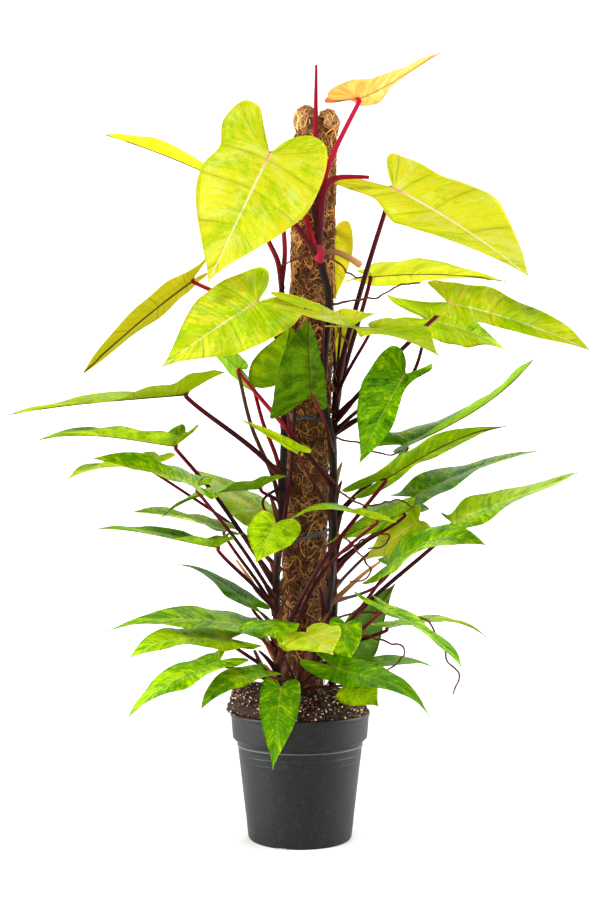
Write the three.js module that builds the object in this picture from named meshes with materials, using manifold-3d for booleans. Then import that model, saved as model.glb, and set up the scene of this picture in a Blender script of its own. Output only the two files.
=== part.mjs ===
// A potted painted lady philodendron on a coir pole, in millimetres, +Z up.
// The origin is on the floor, under the middle of the pot. The viewer stands at -Y, with +X to the right.
import * as THREE from "three";
import * as BufferGeometryUtils from "three/addons/utils/BufferGeometryUtils.js";
import Module from "manifold-3d";

const wasm = await Module();
wasm.setup();

// Driving dimensions
const gap = 0.35; // between pieces that touch
const potHeight = 214;
const rimRadius = 120;
const skirtDepth = 43; // the rim's skirt, down to the step
const skirtFlare = 4.5;
const bodyTopRadius = 107.5;
const footRadius = 88;
const notchWidth = 21; // of the three notches in the foot
const notchHeight = 3.2;
const notchTurn = -1.95; // the first notch, left of the front
const potWall = 2.2;
const potFloor = 6; // height of the floor's underside
const soilEdge = 222; // height of the soil where it meets the rim
const soilCrown = 256;
const poleRadius = 38;
const poleFoot = 40; // lowest point of the pole, in the soil
const poleNeck = 1226; // where the coir wrap is folded over
const poleTop = 1266;
const poleLean = 0.0265; // sideways run for each millimetre up
const stemRadius = 7;
const bladeThickness = 1.2;

// Seeded draws, the same on each run
let seed = 20260;
function draw() {
  seed = (seed * 16807) % 2147483647;
  return seed / 2147483647;
}

const vector = (p) => new THREE.Vector3(...p);

function geometryOf(positions, faces) {
  const geometry = new THREE.BufferGeometry();
  geometry.setAttribute("position", new THREE.Float32BufferAttribute(positions.flatMap((p) => p.toArray()), 3));
  geometry.setIndex(faces.flat());
  return geometry;
}

// A three.js geometry as a manifold solid
function solidOf(geometry) {
  const bare = geometry.clone();
  bare.deleteAttribute("normal");
  bare.deleteAttribute("uv");
  const merged = BufferGeometryUtils.mergeVertices(bare, 1e-4);
  return new wasm.Manifold(
    new wasm.Mesh({
      numProp: 3,
      vertProperties: merged.getAttribute("position").array,
      triVerts: new Uint32Array(merged.index.array),
    }),
  );
}

function geometryFrom(solid) {
  const mesh = solid.getMesh();
  const geometry = new THREE.BufferGeometry();
  const count = mesh.vertProperties.length / mesh.numProp;
  const position = new Float32Array(count * 3);
  for (let i = 0; i < count; i++)
    position.set(mesh.vertProperties.subarray(i * mesh.numProp, i * mesh.numProp + 3), i * 3);
  geometry.setAttribute("position", new THREE.BufferAttribute(position, 3));
  geometry.setIndex(new THREE.BufferAttribute(new Uint32Array(mesh.triVerts), 1));
  return geometry;
}

// Rings of equally many points, joined into one closed body. They turn anticlockwise seen from the last ring.
function loft(rings) {
  const sides = rings[0].length;
  const middle = (ring) => ring.reduce((sum, p) => sum.add(p), new THREE.Vector3()).divideScalar(sides);
  const points = rings.flat();
  const faces = [];
  rings.slice(1).forEach((ring, i) => {
    for (let j = 0; j < sides; j++) {
      const a = i * sides + j;
      const b = i * sides + ((j + 1) % sides);
      faces.push([a, b, b + sides], [a, b + sides, a + sides]);
    }
  });
  const last = (rings.length - 1) * sides;
  points.push(middle(rings[0]), middle(rings[rings.length - 1]));
  for (let j = 0; j < sides; j++) {
    const next = (j + 1) % sides;
    faces.push([points.length - 2, next, j], [points.length - 1, last + j, last + next]);
  }
  return geometryOf(points, faces);
}

// A closed tube along a row of points, with a radius at each of them
function tube(path, radii, sides) {
  const rings = [];
  let side = null;
  path.forEach((point, i) => {
    const before = path[Math.max(i - 1, 0)];
    const after = path[Math.min(i + 1, path.length - 1)];
    const along = after.clone().sub(before).normalize();
    if (!side) side = Math.abs(along.z) < 0.9 ? new THREE.Vector3(0, 0, 1) : new THREE.Vector3(1, 0, 0);
    side = side.clone().addScaledVector(along, -side.dot(along)).normalize();
    const other = along.clone().cross(side);
    const ring = [];
    for (let j = 0; j < sides; j++) {
      const angle = (2 * Math.PI * j) / sides;
      const across = side.clone().multiplyScalar(Math.cos(angle)).addScaledVector(other, Math.sin(angle));
      ring.push(point.clone().addScaledVector(across, radii[i]));
    }
    rings.push(ring);
  });
  return loft(rings);
}

function radiusAt(radii, share) {
  const at = share * (radii.length - 1);
  const low = Math.min(Math.floor(at), radii.length - 2);
  return radii[low] + (radii[low + 1] - radii[low]) * (at - low);
}

const smoothPath = (points, steps) => new THREE.CatmullRomCurve3(points.map(vector)).getPoints(steps);

function lathe(profile, segments) {
  const points = profile.map(([radius, height]) => new THREE.Vector2(radius, height));
  return new THREE.LatheGeometry(points, segments).rotateX(Math.PI / 2);
}

// Pot
const skirtFoot = potHeight - skirtDepth;
const bodyRadiusAt = (z) => footRadius + ((bodyTopRadius - footRadius) * z) / (skirtFoot - 8);
const outerProfile = [
  [0, 0],
  [22, 0],
  [24, potFloor],
  [footRadius - 7, potFloor],
  [footRadius - 6, 0],
  [footRadius - 2, 0],
  [bodyRadiusAt(4), 4],
  [bodyRadiusAt(150), 150],
  [bodyTopRadius, skirtFoot - 8],
  [rimRadius - skirtFlare, skirtFoot],
  [rimRadius - 1.5, potHeight - 6],
  [rimRadius, potHeight - 5],
  [rimRadius, potHeight - 1],
  [rimRadius - 1, potHeight],
];
const innerProfile = [
  [rimRadius - 3.5, potHeight],
  [rimRadius - skirtFlare - potWall, skirtFoot + 2],
  [bodyTopRadius - potWall, skirtFoot - 6],
  [bodyRadiusAt(9) - potWall, potFloor + potWall],
  [0, potFloor + potWall],
];
const potSegments = 36;

function makePot() {
  let pot = solidOf(lathe([...outerProfile, ...innerProfile], potSegments));
  const hole = new THREE.CylinderGeometry(6, 6, 12, 10).rotateX(Math.PI / 2);
  for (let i = 0; i < 8; i++) {
    const turn = ((i + 0.35) * Math.PI) / 4;
    pot = pot.subtract(solidOf(hole.clone().translate(52, 0, potFloor).rotateZ(turn)));
  }
  const notch = new THREE.BoxGeometry(18, notchWidth, 2 * notchHeight).translate(footRadius - 1, 0, 0);
  for (let i = 0; i < 3; i++) {
    pot = pot.subtract(solidOf(notch.clone().rotateZ(notchTurn + (i * 2 * Math.PI) / 3)));
  }
  return pot;
}

// Pole: rings of coir with a low relief, a neck, and the wrap folded over in two bulges
const poleX = (z) => 2 + (z - 250) * poleLean;
const poleSides = 14;
function poleRing(z, radius, relief) {
  const ring = [];
  for (let j = 0; j < poleSides; j++) {
    const angle = (2 * Math.PI * j) / poleSides;
    const r = radius + relief * (2 * draw() - 1);
    ring.push(new THREE.Vector3(poleX(z) + r * Math.cos(angle), r * Math.sin(angle), z));
  }
  return ring;
}

function makePole() {
  const rings = [poleRing(poleFoot, poleRadius - 2, 0), poleRing(256, poleRadius - 2, 0)];
  for (let z = 290; z < poleNeck - 20; z += 58) rings.push(poleRing(z, poleRadius - 0.5, 1.8));
  rings.push(poleRing(poleNeck - 16, poleRadius - 2, 1.5), poleRing(poleNeck, poleRadius - 5, 1));
  rings.push(poleRing(poleNeck + 12, poleRadius - 4, 1), poleRing(poleNeck + 20, poleRadius - 12, 1));
  let pole = solidOf(loft(rings));
  for (const [x, height, wide] of [[-19, 0, 19], [20, -6, 17]]) {
    const fold = new THREE.SphereGeometry(1, 12, 8).rotateX(Math.PI / 2).scale(wide, 30, 24);
    pole = pole.add(solidOf(fold.translate(poleX(poleTop) + x, 0, poleTop - 24 + height)));
  }
  return pole;
}

// The vines climb beside the pole. Each row is a point of the stem's middle.
const vines = {
  left: [
    [-34, -64, 205], [-34, -62, 262], [-38, -56, 340], [-40, -52, 400], [-37, -50, 480], [-30, -48, 600],
    [-28, -45, 720], [-33, -38, 830], [-31, -28, 950],
  ],
  front: [
    [-6, -80, 205], [-4, -80, 262], [20, -74, 318], [42, -66, 376], [51, -61, 440], [54, -59, 510],
    [56, -57, 570], [55, -56, 650], [46, -57, 710], [38, -60, 770], [44, -58, 850], [50, -56, 920],
    [42, -56, 957], [33, -56, 990], [31, -56, 1008],
  ],
  right: [
    [54, 24, 205], [56, 26, 275], [57, 24, 380], [58, 22, 480], [58, 20, 600], [60, 17, 700],
    [63, 14, 785],
  ],
};
const stems = Object.fromEntries(
  Object.entries(vines).map(([name, rows]) => [name, new THREE.CatmullRomCurve3(rows.map(vector))]),
);

// The point of a stem at a height, found by halving
function stemPoint(name, height) {
  let low = 0;
  let high = 1;
  for (let i = 0; i < 24; i++) {
    const half = (low + high) / 2;
    if (stems[name].getPoint(half).z < height) low = half;
    else high = half;
  }
  return stems[name].getPoint(low);
}

// Leaves. joint: where the stalk meets the blade. faces: where the upper side looks. lobes: how far the back
// lobes reach behind the joint. fold, lobeFold: degrees. arch, sweep: shares of the length. hook: a bow before
// the tip, as a share of the length. twist: radians at the tip. wave: the edge's ripple, as a share of the half.
// shape: the outline's name. vine, from: the stalk's stem and the height where it leaves it. via: a point the
// stalk passes. stout: the stalk's thickness, as a share of the usual one. Two values are the two halves.
const leaves = [
  { joint: [-51, -90, 1160], tip: [-150, -150, 928], faces: [0.2, -0.95, 0.2], width: 205,
    lobes: [0.25, 0.29], fold: 8, arch: 0.03, wave: 0.05, shape: ["heart", "waisted"], vine: "front",
    from: 1000, via: [16, -74, 1085] },
  { joint: [-116, 60, 1145], tip: [-364, 130, 1258], faces: [-0.4, 0.05, 0.9], width: 130, lobes: 0.2,
    fold: 24, arch: 0.02, wave: 0.08, shape: "arrow", vine: "front", from: 988, via: [-30, -73, 1064] },
  { joint: [99, -40, 1271], tip: [256, 20, 1376], faces: [-0.4, 0.22, 0.88], width: 72, lobes: 0.24,
    fold: 12, lobeFold: 66, arch: -0.04, hook: 0.03, wave: 0.16, vine: "front", from: 1000,
    via: [44, -64, 1130], stout: 1.35 },
  { joint: [160, -40, 1114], tip: [383, -90, 951], faces: [0.25, -0.9, 0.35], width: [190, 130],
    lobes: [0.17, 0.33], fold: 10, arch: 0.04, wave: 0.05, shape: ["broad", "hooked"], vine: "right",
    from: 775, stout: 1.05 },
  { joint: [-187, -30, 955], tip: [-365, -80, 787], faces: [-0.62, 0.3, 0.7], width: 70, lobes: 0.2,
    fold: 16, arch: 0.02, twist: -0.2, wave: 0.12, shape: "arrow", vine: "left", from: 870 },
  { joint: [-71, -110, 904], tip: [-225, -170, 786], faces: [-0.1, -0.92, 0.4], width: 150, lobes: 0.27,
    fold: 6, arch: 0.02, wave: 0.06, vine: "left", from: 840, stout: 1.2 },
  { joint: [60, 75, 1062], tip: [64, 90, 938], faces: [0.4, 0.85, 0.2], width: 78, lobes: 0.15, fold: 6,
    arch: 0.02, wave: 0.05, vine: "right", from: 762 },
  { joint: [128, 84, 985], tip: [386, 152, 986], faces: [0.05, 0.1, 1], width: 155, lobes: 0.14, fold: 10,
    arch: 0.035, wave: 0.1, vine: "right", from: 735 },
  { joint: [257, -20, 917], tip: [492, -60, 829], faces: [0.25, -0.85, 0.6], width: [118, 86],
    lobes: [0.2, 0.08], fold: 14, arch: 0.04, wave: 0.1, shape: ["arrow", "waisted"], vine: "right",
    from: 715, via: [160, -20, 820] },
  { joint: [230, 40, 897], tip: [384, 140, 852], faces: [0.2, -0.75, 0.65], width: 110, lobes: 0.42,
    fold: 12, arch: 0.04, hook: 0.02, wave: 0.14, vine: "right", from: 694, via: [186, 10, 780] },
  { joint: [119, -90, 863], tip: [223, -190, 802], faces: [0.3, -0.6, 0.75], width: [150, 110],
    lobes: [0.22, 0.44], fold: 12, arch: 0.06, wave: 0.08, shape: ["heart", "hooked"], vine: "right",
    from: 755 },
  { joint: [40, -116, 882], tip: [128, -106, 886], faces: [0.1, -0.5, 0.85], width: 84, lobes: 0.95,
    fold: 10, arch: -0.08, wave: 0.12, vine: "front", from: 780, stout: 0.8 },
  { joint: [18, -158, 740], tip: [14, -122, 874], faces: [-0.5, 0.85, 0.15], width: [90, 150],
    lobes: [0.1, 0.3], fold: 26, arch: 0.04, wave: 0.05, shape: ["shouldered", "winged"], vine: "front",
    from: 655, via: [44, -156, 690] },
  { joint: [-32, -88, 774], tip: [-16, -70, 874], faces: [0.2, 0.95, 0.1], width: 116, lobes: 0.15, fold: 8,
    arch: 0.02, vine: "left", from: 560, via: [-14, -70, 660] },
  { joint: [72, 60, 900], tip: [51, 90, 806], faces: [-0.2, 0.9, 0.35], width: 75, lobes: 0.15, fold: 8,
    arch: 0.03, vine: "right", from: 770 },
  { joint: [-102, -30, 801], tip: [-194, 60, 873], faces: [0.1, 0.65, 0.75], width: 95, lobes: 0.2, fold: 10,
    arch: 0.02, vine: "front", from: 600, via: [-20, -104, 690], stout: 1.35 },
  { joint: [-191, -90, 754], tip: [-466, -170, 711], faces: [-0.05, -0.03, 1], width: 120, lobes: 0.22,
    fold: 16, lobeFold: 50, arch: 0.005, hook: 0.01, twist: 0.15, wave: 0.13, shape: "arrow", vine: "left",
    from: 614 },
  { joint: [-207, -90, 667], tip: [-416, -180, 670], faces: [0, -0.04, 1], width: 128, lobes: 0.12, fold: 18,
    lobeFold: 45, arch: 0.02, hook: 0.03, wave: 0.14, shape: "arrow", vine: "left", from: 430,
    via: [-136, -42, 572] },
  { joint: [-258, -20, 634], tip: [-388, -80, 610], faces: [-0.1, -0.12, 1], width: 110, lobes: 0.25,
    fold: 16, lobeFold: 36, arch: 0.05, hook: 0.03, wave: 0.16, shape: "arrow", vine: "left", from: 460,
    via: [-118, 22, 532] },
  { joint: [-162, -187, 595], tip: [-321, -236, 637], faces: [0.25, -0.3, 0.95], width: 112, lobes: 0.16,
    fold: 16, arch: 0.04, wave: 0.1, shape: "arrow", vine: "left", from: 405, via: [-98, -118, 500] },
  { joint: [-76, 14, 555], tip: [-195, 104, 634], faces: [0.5, -0.55, 0.65], width: 110, lobes: 0.2, fold: 8,
    arch: 0.03, wave: 0.07, vine: "left", from: 480 },
  { joint: [-66, -95, 596], tip: [-227, -125, 545], faces: [-0.3, -0.04, 1], width: 106, lobes: 0.24,
    fold: 14, lobeFold: 34, arch: 0.06, hook: 0.04, wave: 0.12, shape: "arrow", vine: "left", from: 570 },
  { joint: [-129, -30, 525], tip: [-280, -70, 555], faces: [0.1, -0.2, 1], width: 96, lobes: 0.16, fold: 16,
    arch: 0.04, wave: 0.1, shape: "arrow", vine: "left", from: 385 },
  { joint: [-134, -110, 499], tip: [-325, -150, 528], faces: [0.1, -0.04, 1], width: 98, lobes: 0.1,
    fold: 18, lobeFold: 40, arch: -0.005, hook: 0.03, wave: 0.12, shape: "arrow", vine: "left", from: 388 },
  { joint: [-76, -90, 400], tip: [-214, -40, 467], faces: [0.3, -0.2, 0.9], width: 66, lobes: 0.12, fold: 12,
    arch: 0.02, hook: 0.05, wave: 0.08, vine: "left", from: 340 },
  { joint: [-39, -156, 536], tip: [-70, -200, 474], faces: [-0.1, -0.85, 0.5], width: 85, lobes: 0.22,
    fold: 4, arch: 0.02, wave: 0.06, vine: "left", from: 600, via: [-62, -92, 572] },
  { joint: [0, -100, 656], tip: [-99, -150, 706], faces: [0.4, 0.4, 0.8], width: 42, lobes: 0.1, fold: 14,
    arch: 0.01, wave: 0.08, vine: "front", from: 540 },
  { joint: [174, -110, 783], tip: [96, -150, 633], faces: [-0.45, -0.85, 0.25], width: [86, 125],
    lobes: [0.15, 0.24], fold: 20, arch: 0.03, wave: 0.05, shape: ["pinched", "heart"], vine: "right",
    from: 694 },
  { joint: [181, -20, 671], tip: [419, 60, 829], faces: [-0.45, -0.1, 0.85], width: 112, lobes: 0.14,
    fold: [42, 6], arch: -0.04, hook: -0.02, twist: 0.8, wave: 0.14, shape: "arrow", vine: "right", from: 540 },
  { joint: [141, -88, 612], tip: [334, -158, 693], faces: [-0.35, 0.3, 0.9], width: 94, lobes: 0.3, fold: 14,
    arch: 0.03, hook: 0.03, twist: 0.35, wave: 0.12, shape: "heart", vine: "left", from: 330,
    via: [35, -112, 470] },
  { joint: [202, 30, 582], tip: [431, 100, 666], faces: [-0.25, -0.4, 0.9], width: 104, lobes: 0.12,
    fold: 16, arch: 0.04, twist: 0.3, wave: 0.12, shape: "arrow", vine: "right", from: 450 },
  { joint: [256, -60, 538], tip: [454, -130, 620], faces: [-0.25, -0.44, 0.9], width: 100, lobes: 0.08,
    fold: 12, arch: 0.01, hook: -0.02, twist: 0.2, wave: 0.16, shape: "arrow", vine: "right", from: 330 },
  { joint: [147, -70, 466], tip: [297, -170, 502], faces: [-0.25, -0.5, 0.85], width: 104, lobes: 0.2,
    fold: 14, arch: 0.08, hook: 0.09, wave: 0.13, shape: "arrow", vine: "front", from: 274,
    via: [76, -72, 362] },
  { joint: [200, 98, 552], tip: [96, 178, 556], faces: [0, -0.45, 0.9], width: 95, lobes: 0.16, fold: 10,
    arch: 0.05, wave: 0.08, vine: "right", from: 420, via: [116, 92, 474] },
  { joint: [207, 20, 540], tip: [114, 60, 469], faces: [-0.3, -0.8, 0.55], width: 90, lobes: 0.12, fold: 8,
    arch: 0.01, wave: 0.08, vine: "right", from: 400, via: [146, 98, 428] },
  { joint: [176, -40, 554], tip: [42, -110, 501], faces: [-0.3, 0.5, 0.8], width: 84, lobes: 0.12, fold: 12,
    arch: 0.02, wave: 0.07, vine: "right", from: 460 },
  { joint: [125, -140, 544], tip: [-19, -206, 541], faces: [0, -0.1, 1], width: 86, lobes: 0.12, fold: 14,
    arch: 0.08, hook: 0.04, wave: 0.12, vine: "left", from: 300, via: [34, -104, 450] },
  { joint: [92, 62, 310], tip: [175, 114, 428], faces: [-0.55, 0.8, 0.2], width: 100, lobes: 0.15, fold: 8,
    arch: 0.02, wave: 0.05, vine: "right", from: 272 },
  { joint: [138, -110, 398], tip: [254, -190, 311], faces: [0.45, -0.2, 0.85], width: 84, lobes: 0.28,
    fold: 12, arch: 0.03, hook: 0.04, wave: 0.1, shape: "arrow", vine: "front", from: 262,
    via: [62, -70, 322] },
  { joint: [150, -10, 359], tip: [334, 60, 331], faces: [0.1, 0, 1], width: 80, lobes: 0.1, fold: 14,
    arch: 0.07, hook: 0.05, wave: 0.1, vine: "right", from: 310 },
  { joint: [10, -150, 361], tip: [52, -220, 333], faces: [0.15, -0.75, 0.65], width: 104, lobes: 0.25,
    fold: 4, arch: 0.03, wave: 0.06, vine: "front", from: 268 },
  { joint: [76, -96, 370], tip: [72, -84, 292], faces: [-0.3, -0.9, 0.1], width: 58, lobes: 0.12, fold: 12,
    arch: 0.03, wave: 0.06, vine: "front", from: 272, via: [48, -70, 334] },
  { joint: [-53, -152, 381], tip: [-28, -240, 352], faces: [0, -0.2, 1], width: 96, lobes: 0.14, fold: -4,
    arch: 0.05, hook: 0.04, wave: 0.1, vine: "front", from: 262 },
  { joint: [-31, -128, 270], tip: [-43, -172, 147], faces: [0, -0.95, 0.3], width: 66, lobes: 0.12, fold: 4,
    arch: 0.02, wave: 0.06, vine: "front", from: 258 },
  { joint: [-87, -84, 366], tip: [-309, -150, 364], faces: [-0.05, -0.4, 1], width: 96, lobes: 0.1, fold: 12,
    arch: 0.05, hook: 0.03, wave: 0.1, vine: "left", from: 325 },
  { joint: [-115, -110, 347], tip: [-269, -180, 325], faces: [0, -0.42, 1], width: 92, lobes: 0.26, fold: 12,
    arch: 0.06, hook: 0.05, wave: 0.12, shape: "arrow", vine: "left", from: 272 },
  { joint: [-128, -172, 319], tip: [-262, -245, 241], faces: [-0.35, -0.5, 0.8], width: 84, lobes: 0.2,
    fold: 10, arch: 0.04, hook: 0.05, twist: -0.3, wave: 0.15, shape: "arrow", vine: "left", from: 262 },
  { joint: [-56, -160, 301], tip: [-153, -220, 250], faces: [-0.2, -0.42, 0.9], width: 66, lobes: 0.1,
    fold: 14, arch: 0.08, hook: 0.06, wave: 0.08, shape: "arrow", vine: "front", from: 262 },
  { joint: [58, -140, 304], tip: [202, -200, 236], faces: [0.3, -0.5, 0.8], width: 84, lobes: 0.3, fold: 10,
    arch: 0.02, hook: 0.12, wave: 0.08, shape: "heart", vine: "front", from: 262 },
  { joint: [98, -8, 293], tip: [237, 40, 283], faces: [0, -0.2, 1], width: 75, lobes: 0.1, fold: 12,
    arch: 0.04, hook: 0.03, wave: 0.08, vine: "right", from: 264 },
  { joint: [88, -80, 272], tip: [128, -128, 240], faces: [-0.3, -0.75, 0.6], width: 76, lobes: 0.12, fold: 6,
    arch: 0.03, wave: 0.06, vine: "front", from: 258 },
];

// Aerial roots, dried sheaths and leafless stalks: the vine each grows from, its radii and its points
const offshoots = [
  { vine: "front", radii: [7, 5.6, 4.6, 2.2],
    path: [[31, -56, 1004], [30, -58, 1090], [27, -56, 1207], [28, -52, 1325]] },
  { vine: "front", radii: [7.5, 7.6, 7, 5.8, 4.6, 3.8, 3.2],
    path: [[31, -56, 1004], [34, -65, 1060], [39, -68, 1095], [50, -67, 1116], [66, -65, 1125],
      [90, -63, 1127], [118, -60, 1127]] },
  { vine: "front", radii: [4.5, 5, 5.6, 6.5],
    path: [[33, -56, 996], [60, -50, 1000], [84, -32, 994], [104, -12, 986]] },
  { vine: "left", radii: [4, 3], path: [[-31, -29, 940], [-38, -50, 983], [-56, -62, 1022], [-75, -66, 1078]] },
  { vine: "left", radii: [3.5, 3], path: [[-32, -28, 946], [-26, -50, 1000], [-31, -56, 1069]] },
  { vine: "left", radii: [5, 2], path: [[-40, -52, 392], [-70, -62, 421], [-86, -68, 446], [-107, -72, 475]] },
  { vine: "front", radii: [5, 2], path: [[46, -64, 396], [87, -62, 434], [110, -74, 455], [133, -82, 472]] },
  { vine: "front", radii: [1.6, 1.2], path: [[32, -56, 994], [20, -66, 962], [5, -55, 934]] },
  { vine: "front", radii: [1.5, 1], path: [[32, -56, 996], [0, -66, 987], [-36, -58, 973]] },
  { vine: "front", radii: [1.5, 1], path: [[32, -56, 996], [65, -64, 977], [92, -52, 959], [107, -42, 957]] },
  { vine: "front", radii: [1.5, 1],
    path: [[49, -56, 908], [103, -44, 919], [138, -54, 924], [162, -62, 938], [205, -72, 943]] },
  { vine: "front", radii: [1.4, 1], path: [[48, -57, 899], [54, -66, 883], [68, -62, 859], [83, -50, 841]] },
  { vine: "front", radii: [1.4, 1], path: [[51, -56, 684], [98, -60, 670], [144, -80, 650], [168, -90, 657]] },
  { vine: "front", radii: [1.4, 1],
    path: [[56, -57, 600], [95, -96, 570], [125, -124, 566], [162, -118, 574], [187, -104, 562]] },
  { vine: "front", radii: [1.4, 1],
    path: [[55, -58, 525], [87, -80, 500], [116, -95, 462], [103, -92, 442], [83, -84, 439]] },
  { vine: "front", radii: [1.3, 1],
    path: [[53, -60, 474], [104, -72, 508], [146, -92, 519], [139, -97, 499], [113, -92, 494]] },
  { vine: "front", radii: [1.4, 1],
    path: [[38, -67, 363], [111, -60, 346], [159, -70, 335], [177, -76, 322], [159, -82, 303],
      [141, -86, 290]] },
  { vine: "front", radii: [1.5, 1],
    path: [[41, -66, 375], [112, -42, 386], [160, -60, 384], [200, -80, 381], [232, -92, 348],
      [243, -96, 310], [262, -98, 288], [251, -102, 256]] },
  { vine: "left", radii: [2, 1.4], path: [[-40, -53, 384], [-40, -68, 366], [-30, -70, 397], [-17, -72, 421]] },
  { vine: "left", radii: [2, 1.4], path: [[-40, -52, 406], [-24, -66, 433], [-2, -64, 444], [-8, -60, 470]] },
  { vine: "front", radii: [5, 10.5, 10.2, 5],
    path: [[35, -57, 978], [33, -57, 990], [31.5, -57, 1002], [30.5, -57, 1016]] },
  { vine: "front", radii: [5.2, 4.6, 4],
    path: [[30, -56, 1000], [19, -66, 1024], [8, -70, 1066], [-4, -74, 1112]] },
  { vine: "left", radii: [3.2, 2.8, 2.4],
    path: [[-38, -50, 470], [-24, -66, 560], [-14, -70, 640], [-8, -64, 748]] },
  { vine: "left", radii: [3.4, 2.8, 2.4],
    path: [[-32, -49, 560], [-48, -35, 620], [-82, -62, 700], [-104, -74, 790]] },
  { vine: "left", radii: [3.4, 2.8, 2.4],
    path: [[-32, -49, 575], [-38, -40, 640], [-64, -30, 710], [-84, 6, 784]] },
  { vine: "left", radii: [6, 5, 2], path: [[-36, -58, 300], [-52, -68, 330], [-60, -72, 362]] },
  { vine: "left", radii: [6.5, 5, 2.5], path: [[-34, -62, 268], [-58, -76, 290], [-76, -84, 326]] },
  { vine: "front", radii: [6.5, 6, 3], path: [[-4, -80, 262], [-24, -92, 288], [-12, -100, 314]] },
];

const pair = (value, hand) => (Array.isArray(value) ? value[hand > 0 ? 1 : 0] : value);

// Half of a blade's outline, from the back lobe to the tip. Each point is its place along the blade, behind the
// joint as a share of the lobe and before it as a share of the length, then its place out, as a share of the half
const shapes = {
  heart: [
    [-0.6, 0.18], [-1, 0.48], [-0.94, 0.78], [-0.35, 0.95], [0.13, 1], [0.3, 0.95], [0.46, 0.79],
    [0.64, 0.52], [0.81, 0.23], [0.92, 0.07],
  ],
  waisted: [
    [-0.6, 0.3], [-1, 0.5], [-0.95, 0.78], [-0.25, 0.93], [0.12, 0.79], [0.26, 0.89], [0.41, 0.87],
    [0.6, 0.67], [0.81, 0.32], [0.93, 0.1],
  ],
  shouldered: [
    [-0.6, 0.2], [-1, 0.5], [-0.75, 0.85], [-0.1, 0.96], [0.16, 0.97], [0.31, 0.94], [0.45, 1.02],
    [0.6, 0.82], [0.79, 0.57], [0.92, 0.27],
  ],
  hooked: [
    [-0.42, 0.2], [-0.8, 0.36], [-1, 0.8], [-0.66, 0.81], [-0.16, 0.67], [0.03, 0.79], [0.15, 1],
    [0.26, 0.99], [0.49, 0.68], [0.82, 0.2],
  ],
  broad: [
    [-0.5, 0.22], [-1, 0.55], [-0.85, 0.76], [-0.3, 0.83], [0.16, 0.81], [0.31, 0.9], [0.49, 1],
    [0.69, 0.72], [0.85, 0.4], [0.94, 0.17],
  ],
  arrow: [
    [-0.5, 0.3], [-1, 0.74], [-0.72, 0.86], [-0.3, 0.84], [0.06, 0.88], [0.22, 0.98], [0.42, 0.92],
    [0.62, 0.75], [0.8, 0.5], [0.92, 0.23],
  ],
  pinched: [
    [-0.3, 0.5], [-1, 1], [-0.8, 1.06], [-0.2, 0.85], [0.08, 0.54], [0.21, 0.46], [0.35, 0.6],
    [0.55, 0.76], [0.73, 0.62], [0.88, 0.3],
  ],
  winged: [
    [-0.3, 0.3], [-0.75, 0.62], [-1, 0.96], [-0.78, 1], [-0.4, 0.93], [0.02, 0.86], [0.3, 0.74],
    [0.6, 0.52], [0.82, 0.27], [0.93, 0.1],
  ],
};

function outlineOf(shape, lobe) {
  const corners = [[0, 0], ...shapes[shape], [1, 0]];
  const points = corners.map(([along, out]) => new THREE.Vector3(along < 0 ? along * lobe : along, out, 0));
  return new THREE.CatmullRomCurve3(points, false, "catmullrom", 0.5);
}

// The blade's own frame, and a point of its middle sheet at a share of the length and a side distance
function bladeFrame(leaf) {
  const joint = vector(leaf.joint);
  const along = vector(leaf.tip).sub(joint);
  const length = along.length();
  along.normalize();
  const up = vector(leaf.faces).addScaledVector(along, -vector(leaf.faces).dot(along)).normalize();
  const across = along.clone().cross(up);
  return { joint, along, up, across, length };
}

function bladePoint(leaf, frame, share, side, outward) {
  const { joint, along, up, across, length } = frame;
  const half = pair(leaf.width, side) / 2;
  const bow = share > 0 ? 4 * share * (1 - share) : 4 * share;
  const lobe = THREE.MathUtils.smoothstep(0.12 - share, 0, 0.2);
  const open = pair(leaf.fold, side);
  const fold = THREE.MathUtils.degToRad(open + ((leaf.lobeFold ?? open) - open) * lobe);
  const reach = Math.abs(side) * half;
  const wave = (leaf.wave ?? 0.035) * half * Math.sin(14 * outward + (side > 0 ? 1 : 3) + leaf.from) * side * side;
  const rise = reach * Math.sin(fold) - 0.16 * half * side * side + wave;
  const forward = Math.max(0, share);
  const hook = 6.75 * (leaf.hook ?? 0) * forward * forward * (1 - share);
  const turn = (leaf.twist ?? 0) * forward;
  const run = side * half * Math.cos(fold);
  return joint
    .clone()
    .addScaledVector(along, share * length)
    .addScaledVector(across, run * Math.cos(turn) - rise * Math.sin(turn) + bow * (leaf.sweep ?? 0) * length)
    .addScaledVector(up, run * Math.sin(turn) + rise * Math.cos(turn) + (bow * leaf.arch + hook) * length);
}

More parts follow.
